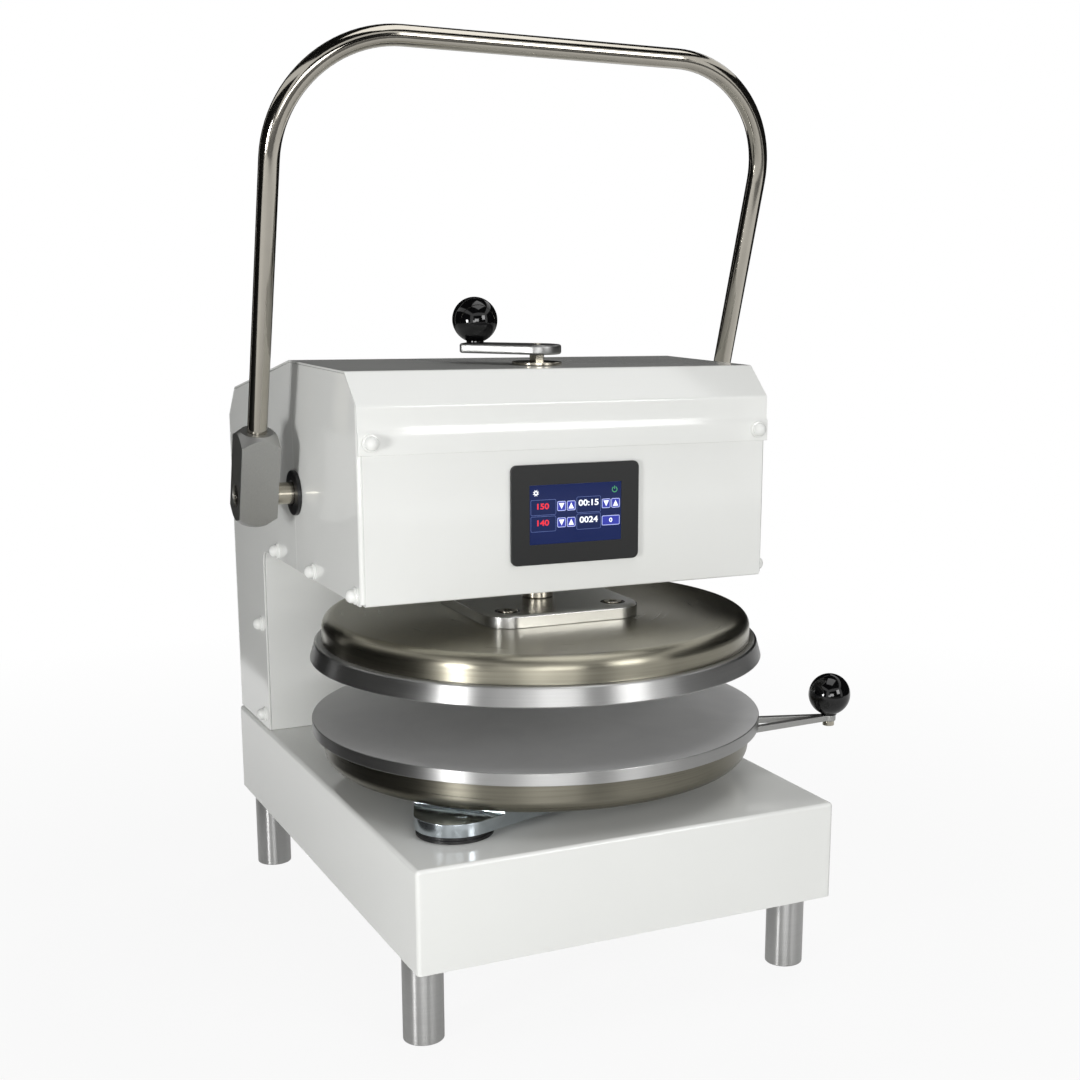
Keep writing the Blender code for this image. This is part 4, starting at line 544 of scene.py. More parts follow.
def satin_steel():
    """Ground mild steel of the handle's blocks and the fork: darker grey satin, with upright grinding lines.

    The lines are drawn coarser than a wheel leaves them, so that they show."""
    return grained("satin_steel", between("#A0A09E", "#B6B6B3"), (0.36, 0.46), (0.6, 0.6, 18), 3.0,
                   bump=(0.12, 0.02), metallic=1.0)


def polished_stainless():
    """Polished stainless tube: sharp dark and light streaks, a little warm, with faint wear."""
    return grained("polished_stainless", between("#A6A197", "#B4B0A6"), (0.07, 0.13), 30, 3.0, metallic=1.0)


def bright_steel():
    """Bright steel of the shaft, ram and screws: warm, fairly sharp, its lines coarse enough to show."""
    return grained("bright_steel", between("#A39D8F", "#C0BBAE"), (0.16, 0.28), (0.5, 12, 0.5), metallic=1.0)


def zinc_plate():
    """Bright zinc plate on the swing arm: cool bluish silver, glossy, with a soft mottle."""
    return grained("zinc_plate", between("#B4BCC2", "#D0D8DD"), (0.12, 0.22), 8, 4.0, bump=(0.25, 0.15),
                   relief=(14, 2.0), metallic=1.0)


def gloss_knob():
    """Moulded phenolic of the balls: deep black and glossy, with a very faint ripple."""
    shades = around(bpy.context.scene.press_finishes.knob, 0.5, 0.9)
    return grained("phenolic_ball", shades, (0.05, 0.1), 7, ior=1.5)


def bearing_plastic():
    """Moulded black acetal of the bearings, the washer and the cable inlet: dark, with a soft sheen."""
    return grained("black_acetal", between("#101011", "#1B1B1C"), (0.3, 0.42), 4, 3.0, ior=1.48)


def bezel_plastic():
    """Moulded charcoal ABS of the bezel: nearly black satin, with its grain drawn coarse enough to show."""
    shades = between("#151616", "#1B1C1C")
    return grained("charcoal_abs", shades, (0.34, 0.46), 0.5, bump=(0.15, 0.03), ior=1.5)


def lit(name, hex_colour, strength):
    """A colour that the screen's backlight shows through its glass."""
    colour = linear(hex_colour)
    return grained(name, around(colour, 0.85, 1.05), (0.12, 0.17), 22, 1.0, ior=1.5,
                   emission_color=colour, emission_strength=strength)


def screen_glass():
    """The lit screen under its touch glass: deep blue and glossy."""
    colour = bpy.context.scene.press_finishes.screen
    return grained("touch_screen", around(colour, 0.3, 0.55), (0.08, 0.14), 60, 1.0, ior=1.52,
                   emission_color=colour, emission_strength=0.4)


def rubber():
    """Moulded black rubber of the stop and pad: dark and dull."""
    return grained("black_rubber", between("#161616", "#242424"), (0.65, 0.8), 1, ior=1.5)


def bronze():
    """Sintered bronze of the bushes: warm brown, with an open grain drawn coarse enough to show."""
    return grained("sintered_bronze", between("#8A6A45", "#B08C5E"), (0.36, 0.5), 0.6, metallic=1.0)


def frame_steel():
    """Hot-rolled steel of the inner frame: dark grey with a mottled mill skin."""
    return grained("mill_steel", between("#55565A", "#77787A"), (0.45, 0.62), 20, 5.0, metallic=0.9)


def mica():
    """Mica band of the heaters: brown-grey, flaky and dull."""
    material, tree, shader, spot = new_finish("mica_band", ior=1.56)
    flakes = add(tree, "ShaderNodeTexVoronoi", {"Vector": spot, "Scale": 1 / (5 * MM)})
    vary(tree, shader, flakes.outputs["Distance"], between("#7D715F", "#A2957F"), (0.5, 0.7))
    return material


def board():
    """Printed circuit board: green, with faint copper runs under its lacquer."""
    material, tree, shader, spot = new_finish("circuit_board", ior=1.5)
    runs = add(tree, "ShaderNodeTexVoronoi", {"Vector": spot, "Scale": 1 / (6 * MM)}, distance="MANHATTAN")
    vary(tree, shader, runs.outputs["Distance"], between("#1F6B3C", "#2E8B4F"), (0.3, 0.45))
    return material


MAKERS = {maker.__name__: maker for maker in (
    powder_coat, dish_stainless, pan_stainless, turned_aluminium, sanded_platen, bright_legs,
    milled_aluminium, brushed_arm, satin_steel, polished_stainless, bright_steel, zinc_plate, gloss_knob,
    bearing_plastic, bezel_plastic, screen_glass, rubber, bronze, frame_steel, mica, board,
)}
LIT_COLOURS = {
    "lit_white": ("#E8ECF4", 0.6), "lit_red": ("#D8323F", 0.6), "lit_green": ("#4E9E6A", 0.5),
    "lit_frame": ("#5C6CA4", 0.4), "lit_edge": ("#A9B2E4", 0.5), "lit_button": ("#343B9A", 0.45),
    "lit_box": ("#16224C", 0.4),
}
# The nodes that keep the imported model's shape, under the finish that they get
INNER_FINISHES = {
    "powder_coat": ("base_bottom",),
    "board": ("control_board",),
    "mica": ("upper_heater", "lower_heater"),
    "frame_steel": (
        "frame_plate_left", "frame_plate_right", "top_bridge", "ram_guide", "pivot_plate", "pivot_post",
        "crosshead", "nut_retainer",
    ),
    "bright_steel": ("crank_spindle", "pinion", "rack", "gas_spring_rod"),
    "bronze": ("ram_bush", "spindle_bush", "adjuster_nut"),
    "bearing_plastic": ("gas_spring_tube",),
    "rubber": ("swing_stop", "rest_pad"),
}
finishes = {}


def finish_called(name):
    """The material of that name, made when it is first asked for."""
    if name not in finishes:
        finishes[name] = lit(name, *LIT_COLOURS[name]) if name in LIT_COLOURS else MAKERS[name]()
    return finishes[name]


# Pieces


class PieceOperator(bpy.types.Operator):
    bl_options = {"REGISTER", "UNDO"}

    def execute(self, context):
        self.build(context.scene.press_sizes)
        return {"FINISHED"}


class PRESS_OT_legs(PieceOperator):
    """Turn the four legs with their chamfered feet."""

    bl_idname = "press.legs"
    bl_label = "Legs"

    def build(self, sizes):
        low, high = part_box("leg_front_left")
        hollow, recess, rim, edge = 12 * MM, 0.6 * MM, 1.2 * MM, 0.6 * MM
        stud, stud_length = 6 * MM, 10 * MM
        radius, top = (high.x - low.x) / 2, high.z - low.z - stud_length - SEAT_GAP
        leg = turned("turned_leg", [
            (0.0, recess), (hollow, recess), (hollow + MM, 0.0), *arc((radius - rim, rim), rim, -90, 0, 3),
            (radius, top - edge), (radius - edge, top), (stud, top), (stud, top + stud_length),
            (0.0, top + stud_length),
        ], 64)
        for spot in ("front_left", "front_right", "rear_left", "rear_right"):
            piece = copied(leg, f"turned_leg_{spot}", over(middle(f"leg_{spot}")))
            hand_over(piece, "machine_frame", "bright_legs", f"leg_{spot}")
        discard(leg)


class PRESS_OT_casing(PieceOperator):
    """Round the edges of the coated sheets of the base, column and head."""

    bl_idname = "press.casing"
    bl_label = "Casing"

    def build(self, sizes):
        for node in (
            "base_shell", "head_side_left", "head_side_right", "column_side_left", "column_side_right",
            "top_cover", "rear_cover", "front_panel", "throat_panel",
        ):
            piece = sheet_copy(node, f"{node}_sheet", sizes.edge_round)
            hand_over(piece, "machine_frame", "powder_coat", node, angle=38.0)


class PRESS_OT_dome_nuts(PieceOperator):
    """Turn the painted dome nuts and set them on the casing."""

    bl_idname = "press.dome_nuts"
    bl_label = "Dome nuts"

    def build(self, sizes):
        flange, body, height, skirt, sunk = 8.25 * MM, 6.5 * MM, 9.8 * MM, 4.2 * MM, 0.1 * MM
        dome = [(body * u, skirt + (height - skirt) * v) for u, v in arc((0.0, 0.0), 1.0, 10, 90, 7)]
        nut = turned("dome_nut", [
            (0.0, 0.0), (flange, 0.0), (flange, 1.5 * MM), (flange - 0.5 * MM, 2.1 * MM), (body, 2.3 * MM),
            (body, skirt), *dome,
        ], 32)
        cover, front = PLATEN_AXIS.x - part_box("rear_cover")[0].x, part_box("front_panel")[0].y
        base_top, head_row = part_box("base_shell")[1].z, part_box("head_side_left")[0].z + 8.5 * MM
        column = PLATEN_AXIS.y + 257 * MM
        spots = {
            "head_front": (front + 17 * MM, head_row), "head_rear": (front + 151 * MM, head_row),
            "column_top": (column - 63 * MM, head_row),
            "column_high": (column + 18 * MM, base_top + 119 * MM),
            "column_low": (column + 18 * MM, base_top + 15 * MM),
        }
        for side, sign in SIDES:
            for name, (y, z) in spots.items():
                place = (PLATEN_AXIS.x + sign * (cover - sunk), y, z)
                piece = copied(nut, f"dome_nut_{name}_{side}", place, (0.0, sign * QUARTER, 0.0))
                hand_over(piece, "machine_frame", "powder_coat")
            node = f"cover_nut_{side}"
            centre = middle(node)
            seat = (centre.x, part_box(node)[1].y + 0.2 * MM, centre.z)
            piece = copied(nut, f"dome_nut_cover_{side}", seat, (QUARTER, 0.0, 0.0))
            hand_over(piece, "machine_frame", "powder_coat", node)
        discard(nut)


class PRESS_OT_display(PieceOperator):
    """Mould the bezel, and light the screen with its boxes, buttons, numbers and signs.

    The signs are placed in millimetres right and down from the glass's top left corner."""

    bl_idname = "press.display"
    bl_label = "Display"

    print_height = 0.03
    digit_size_share, digit_weight_share, digit_width_share = 1.36, 0.035, 1.22

    def build(self, sizes):
        low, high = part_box("display_bezel")
        glass_low, glass_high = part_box("display_screen")
        centre, lean_back = (low + high) / 2, (QUARTER, 0.0, 0.0)
        width, height = glass_high.x - glass_low.x, glass_high.z - glass_low.z
        room, corner, frame_corner, through = 0.2 * MM, 0.3 * MM, 6 * MM, 5 * MM
        outline = rounded(high.x - low.x, high.z - low.z, frame_corner, 8)
        bezel = cut_plate("bezel_moulding", outline, 0.0, high.y - low.y)
        window = rounded(width + room, height + room, corner, 2)
        carve(bezel, cut_plate("window", window, -CUT_OVERRUN, through))
        rounded_edges(bezel, 0.6 * MM, 3)
        settle(bezel, (centre.x, high.y, centre.z), lean_back)
        hand_over(bezel, "machine_frame", "bezel_plastic", "display_bezel")
        glass = cut_plate("touch_glass", rounded(width, height, corner, 2), 0.0, glass_high.y - glass_low.y)
        rounded_edges(glass, 0.15 * MM, 2)
        settle(glass, (centre.x, glass_high.y, centre.z), lean_back)
        hand_over(glass, "machine_frame", "screen_glass", "display_screen")
        self.corner = Vector((glass_low.x, glass_low.y, glass_high.z))
        self.light_up(sizes)

    def on_glass(self, obj, u, v, finish, level=1.0):
        """Puts a flat sign on the glass, at its layer of print, and hands it over."""
        spot = self.corner + Vector((u * MM, -level * self.print_height * MM, -v * MM))
        settle(obj, spot, (QUARTER, 0.0, 0.0))
        hand_over(obj, "machine_frame", finish)

    def printed(self, name, outline):
        return cut_plate(name, outline, 0.0, self.print_height * MM)

    def tile(self, name, box, corner, finish, level):
        """A flat rounded tile between its left top and its right bottom corner."""
        left, top, right, bottom = box
        piece = self.printed(name, rounded((right - left) * MM, (bottom - top) * MM, corner * MM, 4))
        self.on_glass(piece, (left + right) / 2, (top + bottom) / 2, finish, level)

    def outlined(self, name, box, finish, edge=0.35, corner=1.4):
        """A tile with a thin light line round it."""
        left, top, right, bottom = box
        self.tile(f"{name}_line", box, corner, "lit_edge" if finish == "lit_button" else "lit_frame", 0)
        inner = (left + edge, top + edge, right - edge, bottom - edge)
        self.tile(name, inner, corner - edge, finish, 1)

    def button(self, kind, row, box, sign):
        """A button with a triangle that points up or down."""
        self.outlined(f"{kind}{row}", box, "lit_button", 0.7)
        size = 2.9 * MM
        triangle = [(-size, -size * sign), (size, -size * sign), (0.0, size * sign)]
        piece = self.printed(f"{kind}_sign{row}", triangle)
        self.on_glass(piece, (box[0] + box[2]) / 2, (box[1] + box[3]) / 2, "lit_white", 2)

    def number(self, name, words, u, v, height, finish):
        """Plain digits, drawn as flat letters and made a mesh before they are placed."""
        clear_selection()
        bpy.ops.object.text_add(location=ZERO)
        text = bpy.context.object.data
        text.body = words
        text.size = height * self.digit_size_share
        text.offset = height * self.digit_weight_share
        text.extrude = self.print_height * MM / 2
        text.align_x = text.align_y = "CENTER"
        bpy.ops.object.convert(target="MESH")
        piece = name_piece(name)
        piece.scale.x = self.digit_width_share
        edit_all()
        close_mesh()
        self.on_glass(piece, u, v, finish, 2.5)

    def light_up(self, sizes):
        digits, large, small = sizes.digit_height, sizes.digit_height * 1.05, sizes.digit_height * 0.75
        for row, top in (("_upper", 14.0), ("_lower", 29.8)):
            self.outlined(f"heat_box{row}", (1.2, top, 27.4, top + 14.8), "lit_box")
            for kind, left, sign in (("heat_down", 28.7, -1), ("heat_up", 38.8, 1)):
                self.button(kind, row, (left, top + 2.2, left + 9.0, top + 11.6), sign)
        for kind, left, sign in (("time_down", 75.8, -1), ("time_up", 85.9, 1)):
            self.button(kind, "", (left, 16.2, left + 9.2, 25.4), sign)
        self.outlined("time_box", (49.0, 13.0, 74.6, 28.4), "lit_box")
        self.outlined("count_box", (49.0, 29.4, 74.6, 44.6), "lit_box")
        self.outlined("zero_button", (75.8, 32.6, 95.1, 42.2), "lit_button", 0.7)
        self.number("heat_upper", "150", 13.2, 20.6, digits, "lit_red")
        self.number("heat_lower", "140", 13.2, 36.4, digits, "lit_red")
        self.number("time_digits", "00:15", 61.8, 19.2, large, "lit_white")
        self.number("count_digits", "0024", 61.8, 35.6, large, "lit_white")
        self.number("zero_digit", "0", 85.4, 37.4, small, "lit_white")
        self.gear_sign(6.6, 7.4)
        self.power_sign(89.4, 7.6)

    def gear_sign(self, u, v):
        """A small wheel with eight teeth and a hole."""
        teeth, root, tip = 8, 2.2 * MM, 3.1 * MM
        outline = []
        for tooth in range(teeth):
            for share, reach in ((0.0, root), (0.3, root), (0.38, tip), (0.62, tip), (0.7, root)):
                angle = (tooth + share) / teeth * TURN
                outline.append((reach * math.cos(angle), reach * math.sin(angle)))
        wheel = self.printed("gear_sign", outline)
        carve(wheel, bar("gear_hole", MM, -CUT_OVERRUN, CUT_OVERRUN, 24))
        self.on_glass(wheel, u, v, "lit_white")

    def power_sign(self, u, v):
        """An open ring with an upright stroke."""
        outer, inner, start, stop = 2.9 * MM, 2.2 * MM, 118, 422
        ring = arc((0.0, 0.0), outer, start, stop, 28) + arc((0.0, 0.0), inner, stop, start, 28)
        self.on_glass(self.printed("power_ring", ring), u, v, "lit_green")
        stroke = self.printed("power_stroke", rounded(0.8 * MM, 3.2 * MM, 0.35 * MM, 3))
        self.on_glass(stroke, u, v - 2.0, "lit_green")


class PRESS_OT_handle(PieceOperator):
    """Bend the tube handle, and mill and turn the two blocks that hold it."""

    bl_idname = "press.handle"
    bl_label = "Handle"

    def build(self, sizes):
        half = SHAFT_AXIS.x - middle("handle_block_left").x
        lean = (sizes.handle_lean, 0.0, 0.0)
        self.bend_tube(sizes, half, lean)
        side, below, above = 38 * MM, 28 * MM, 68 * MM
        end, edge, socket_depth = 16.3 * MM, 0.4 * MM, 30 * MM
        corner = side / math.sqrt(2) + MM
        slope = corner - end
        turned_ends = turned("turned_ends", [
            (0.0, -below), (end - edge, -below), (end, edge - below), (corner, slope - below),
            (corner, above - slope), (end, above - edge), (end - edge, above), (0.0, above),
        ], 96)
        piece = block("handle_block", (side, side, above + below + MM), (0.0, 0.0, (above - below) / 2))
        rounded_edges(piece, 0.5 * MM, 2)
        carve(piece, turned_ends, "INTERSECT")
        socket = sizes.tube_diameter / 2 + 0.25 * MM
        carve(piece, bar("tube_socket", socket, above - socket_depth, above + CUT_OVERRUN, 48))
        bore = bar("shaft_socket", 11.2 * MM, -side, side, 48)
        settle(bore, turn=(0.0, QUARTER, 0.0))
        carve(piece, bore)
        rounded_edges(piece, 0.25 * MM, 2, 32.0)
        for name, sign in SIDES:
            milled = copied(piece, f"milled_block_{name}", (sign * half, 0.0, 0.0))
            settle(milled, turn=lean)
            settle(milled, SHAFT_AXIS)
            hand_over(milled, "handle", "satin_steel", f"handle_block_{name}", angle=20.0)
        discard(piece)

    def bend_tube(self, sizes, half, lean):
        """A ring of points drawn up, round one bend, across and round the other, then given its wall."""
        foot, bend, reach, wall = 38.5 * MM, sizes.handle_bend, sizes.handle_reach, 2 * MM
        height, across = reach - bend - foot, half - bend
        clear_selection()
        bpy.ops.mesh.primitive_circle_add(
            vertices=sizes.tube_sides, radius=sizes.tube_diameter / 2, location=(-half, 0.0, foot)
        )
        tube = name_piece("bent_tube")
        edit_all()
        bpy.ops.mesh.extrude_region_move(TRANSFORM_OT_translate={"value": (0.0, 0.0, height)})
        for side, onward in ((-across, (2 * across, 0.0, 0.0)), (across, (0.0, 0.0, -height))):
            centre = (side, 0.0, reach - bend)
            bpy.ops.mesh.spin(steps=24, angle=QUARTER, center=centre, axis=(0.0, -1.0, 0.0))
            bpy.ops.mesh.extrude_region_move(TRANSFORM_OT_translate={"value": onward})
        close_mesh()
        modify(tube, "SOLIDIFY", thickness=wall, offset=-1.0)
        settle(tube)
        settle(tube, turn=lean)
        settle(tube, SHAFT_AXIS)
        hand_over(tube, "handle", "polished_stainless", "handle_tube", angle=60.0)


class PRESS_OT_cross_shaft(PieceOperator):
    """Turn the cross shaft and its flanged bearings."""

    bl_idname = "press.cross_shaft"
    bl_label = "Cross shaft and bearings"

    def build(self, sizes):
        low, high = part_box("cross_shaft")
        half, radius = (high.x - low.x) / 2, (high.z - low.z) / 2
        centre_mark, edge = 3 * MM, 0.8 * MM
        end = [(0.0, centre_mark), (centre_mark, 0.0), (radius - edge, 0.0), (radius, edge)]
        profile = [(r, -half + z) for r, z in end] + [(r, half - z) for r, z in reversed(end)]
        turn_piece("turned_shaft", profile, sizes.small_steps, SHAFT_AXIS, "handle", "bright_steel",
                   "cross_shaft", turn=(0.0, QUARTER, 0.0))
        bore, barrel, flange = 11.3 * MM, 15 * MM, 22.6 * MM
        thick, sleeve, mouth = 4 * MM, 10 * MM, 1.4 * MM
        bearing = turned("flanged_bearing", [
            (bore, -sleeve), (barrel, -sleeve), (barrel, 0.0), (flange, 0.0),
            *arc((flange - edge, thick - edge), edge, 0, 90, 3), (bore + mouth, thick), (bore, thick - MM),
            (bore, -sleeve),
        ], sizes.small_steps)
        for side, sign in SIDES:
            node = f"shaft_bearing_{side}"
            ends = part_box(node)
            outer = ends[0].x if sign < 0 else ends[1].x
            spot = (outer - sign * thick, SHAFT_AXIS.y, SHAFT_AXIS.z)
            piece = copied(bearing, f"flanged_bearing_{side}", spot, (0.0, sign * QUARTER, 0.0))
            hand_over(piece, "machine_frame", "bearing_plastic", node)
        discard(bearing)


def dished(radius, flat, hem):
    """A spun cover's profile: over its flat, round the fillet, along its wall to the hem, and back."""
    fillet, wall = 13 * MM, 1.5 * MM
    up = 1 if flat > hem else -1
    centre = (radius - fillet, flat - up * fillet)
    return [
        (0.0, flat), *arc(centre, fillet, up * 90, 0, 12), (radius, hem), (radius - wall, hem),
        *arc(centre, fillet - wall, 0, up * 90, 12), (0.0, flat - up * wall),
    ]


class PRESS_OT_upper_platen(PieceOperator):
    """Turn the upper platen and spin its dished cover."""

    bl_idname = "press.upper_platen"
    bl_label = "Upper platen"

    def build(self, sizes):
        low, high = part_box("upper_platen")
        dish_low, dish_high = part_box("upper_dish")
        radius, rim, dish = (high.x - low.x) / 2, dish_low.z - SEAT_GAP, (dish_high.x - dish_low.x) / 2
        draft, edge, brow, step, core = 4.2 * MM, 1.5 * MM, 2.5 * MM, 6 * MM, 100 * MM
        turn_piece("turned_upper_platen", [
            (0.0, low.z), *arc((radius - edge, low.z + edge), edge, -90, -8, 4),
            *arc((radius - draft - brow, rim - brow), brow, 10, 90, 6), (dish - step, rim),
            (dish - step, rim - step), (core, rim - step), (core, high.z), (0.0, high.z),
        ], sizes.turning_steps, over(PLATEN_AXIS), "upper_press", "turned_aluminium", "upper_platen")
        turn_piece("spun_upper_dish", dished(dish, dish_high.z, dish_low.z), sizes.turning_steps,
                   over(PLATEN_AXIS), "upper_press", "dish_stainless", "upper_dish")


def socket_screw(name, radius, height, across, depth):
    """A cap screw's head with a rounded edge and a six-sided socket, its foot at the origin."""
    edge = 0.6 * MM
    rim = arc((radius - edge, height - edge), edge, 0, 90, 3)
    screw = turned(name, [(0.0, 0.0), (radius, 0.0), *rim, (0.0, height)], 36)
    carve(screw, bar("socket", across / math.cos(math.pi / 6), height - depth, height + CUT_OVERRUN, 6))
    return screw


class PRESS_OT_mounting_plate(PieceOperator):
    """Mill the mounting plate, and set the ram and the four socket screws in it."""

    bl_idname = "press.mounting_plate"
    bl_label = "Mounting plate and ram"

    def build(self, sizes):
        low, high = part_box("mounting_plate")
        thick, corner, chamfer, pitch = high.z - low.z, 28 * MM, 2 * MM, 57 * MM
        hole, counterbore, depth = 5 * MM, 12.5 * MM, 6 * MM
        outline = rounded(high.x - low.x, high.y - low.y, corner, 16)
        plate = cut_plate("milled_mounting_plate", outline, 0.0, thick)
        bpy.ops.object.mode_set(mode="EDIT")
        pick_edges(plate, lambda spot: spot.z > thick - 0.1 * MM)
        bpy.ops.mesh.bevel(offset=chamfer, segments=1, affect="EDGES")
        bpy.ops.object.mode_set(mode="OBJECT")
        spots = [(u * pitch, v * pitch) for u in (-1, 1) for v in (-1, 1)]
        for u, v in spots:
            tool = turned("counterbore", [
                (0.0, -CUT_OVERRUN), (hole, -CUT_OVERRUN), (hole, thick - depth),
                (counterbore, thick - depth), (counterbore, thick + CUT_OVERRUN), (0.0, thick + CUT_OVERRUN),
            ], 48)
            settle(tool, (u, v, 0.0))
            carve(plate, tool)
        carve(plate, bar("spigot_hole", 12.3 * MM, -CUT_OVERRUN, thick + CUT_OVERRUN, 48))
        rounded_edges(plate, 0.3 * MM, 2, 35.0)
        settle(plate, over(PLATEN_AXIS, low.z))
        hand_over(plate, "upper_press", "milled_aluminium", "mounting_plate")
        screw = socket_screw("plate_screw", 9 * MM, 7 * MM, 4 * MM, 4.6 * MM)
        for i, (u, v) in enumerate(spots):
            spot = (PLATEN_AXIS.x + u, PLATEN_AXIS.y + v, high.z - depth)
            hand_over(copied(screw, f"plate_screw_{i + 1}", spot), "upper_press", "bright_steel")
        discard(screw)
        self.turn_ram(sizes, high.z + SEAT_GAP)

    def turn_ram(self, sizes, foot):
        """The ram, from its spigot in the plate to its neck, with the well for the spindle."""
        low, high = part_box("ram")
        radius, neck, edge, well, well_depth = 16 * MM, 12 * MM, 0.8 * MM, 7.2 * MM, 60 * MM
        shoulder = high.z - 27.5 * MM
        turn_piece("turned_ram", [
            (0.0, low.z), (neck, low.z), (neck, foot), (radius - edge, foot), (radius, foot + edge),
            (radius, shoulder - edge), (radius - edge, shoulder), (neck, shoulder), (neck, high.z),
            (well, high.z), (well, high.z - well_depth), (0.0, high.z - well_depth),
        ], sizes.small_steps, over(PLATEN_AXIS), "upper_press", "bright_steel", "ram")


def ball_knob(name, diameter, node, body):
    """A moulded ball with a short neck and a flat foot, set on the place of its node."""
    radius, neck, edge, rise = diameter / 2, 8.5 * MM, 0.4 * MM, 1.5 * MM
    centre = math.sqrt(radius ** 2 - neck ** 2) + rise
    start = -math.degrees(math.acos(neck / radius))
    ball = arc((0.0, centre), radius, start, 90, 28)[:-1]
    profile = [(0.0, 0.0), (neck - edge, 0.0), (neck, edge), *ball, (0.0, centre + radius)]
    turn_piece(name, profile, 56, over(middle(node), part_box(node)[0].z), body, "gloss_knob", node)


class PRESS_OT_crank(PieceOperator):
    """Mill the crank's arm, and turn its hub, flange and ball."""

    bl_idname = "press.crank"
    bl_label = "Thickness crank"

    def build(self, sizes):
        low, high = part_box("crank_arm")
        thick, aim = high.z - low.z, math.radians(145.0)
        hub, end, reach, corner = 24 * MM, 17.5 * MM, 74 * MM, 3 * MM
        arm = cut_plate("milled_crank_arm", [
            *arc((0.0, 0.0), hub, 90, 270, 32), *arc((reach - corner, corner - end), corner, -90, 0, 4),
            *arc((reach - corner, end - corner), corner, 0, 90, 4),
        ], 0.0, thick)
        carve(arm, bar("hub_bore", 2.5 * MM, -CUT_OVERRUN, thick + CUT_OVERRUN, 24))
        rounded_edges(arm, 2.2 * MM, 3, 70.0)
        settle(arm, over(PLATEN_AXIS, low.z), (0.0, 0.0, aim))
        hand_over(arm, "thickness_crank", "brushed_arm", "crank_arm")
        ball_knob("crank_ball", sizes.ball_diameter, "crank_knob", "thickness_crank")
        self.cap_hub(high.z)
        low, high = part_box("spindle_flange")
        bore, radius, edge = 6.7 * MM, 24.5 * MM, 0.5 * MM
        turn_piece("turned_flange", [
            (bore, low.z), (radius - edge, low.z), (radius, low.z + edge), (radius, high.z - edge),
            (radius - edge, high.z), (bore, high.z), (bore, low.z),
        ], 64, over(PLATEN_AXIS), "machine_frame", "bright_steel", "spindle_flange")

    def cap_hub(self, top):
        """The small flush screw in the hub's middle."""
        radius, thick, edge, sunk = 5 * MM, 0.9 * MM, 0.5 * MM, 0.1 * MM
        disc = turned("hub_screw", [
            (0.0, 0.0), (radius, 0.0), (radius, thick - 0.4 * MM), (radius - edge, thick), (0.0, thick)
        ], 32)
        carve(disc, bar("hub_socket", 2.4 * MM, 0.3 * MM, 2 * MM, 6))
        settle(disc, over(PLATEN_AXIS, top - sunk))
        hand_over(disc, "thickness_crank", "bright_steel")


class PRESS_OT_lower_platen(PieceOperator):
    """Turn the lower platen and spin the pan under it."""

    bl_idname = "press.lower_platen"
    bl_label = "Lower platen"

    def build(self, sizes):
        low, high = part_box("lower_platen")
        radius, edge, brow = (high.x - low.x) / 2, 0.8 * MM, 0.9 * MM
        platen = turn_piece("turned_lower_platen", [
            (0.0, low.z), (radius - edge, low.z), *arc((radius - edge, low.z + edge), edge, -60, 0, 3),
            *arc((radius - brow, high.z - brow), brow, 0, 90, 5), (0.0, high.z),
        ], sizes.turning_steps, over(PLATEN_AXIS), "swing_carrier", "turned_aluminium", "lower_platen")
        platen.data.materials.append(finish_called("sanded_platen"))
        for face in platen.data.polygons:
            if face.normal.z > 0.95:
                face.material_index = 1
        low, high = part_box("lower_pan")
        turn_piece("spun_lower_pan", dished((high.x - low.x) / 2, low.z, high.z), sizes.turning_steps,
                   over(PLATEN_AXIS), "swing_carrier", "pan_stainless", "lower_pan")


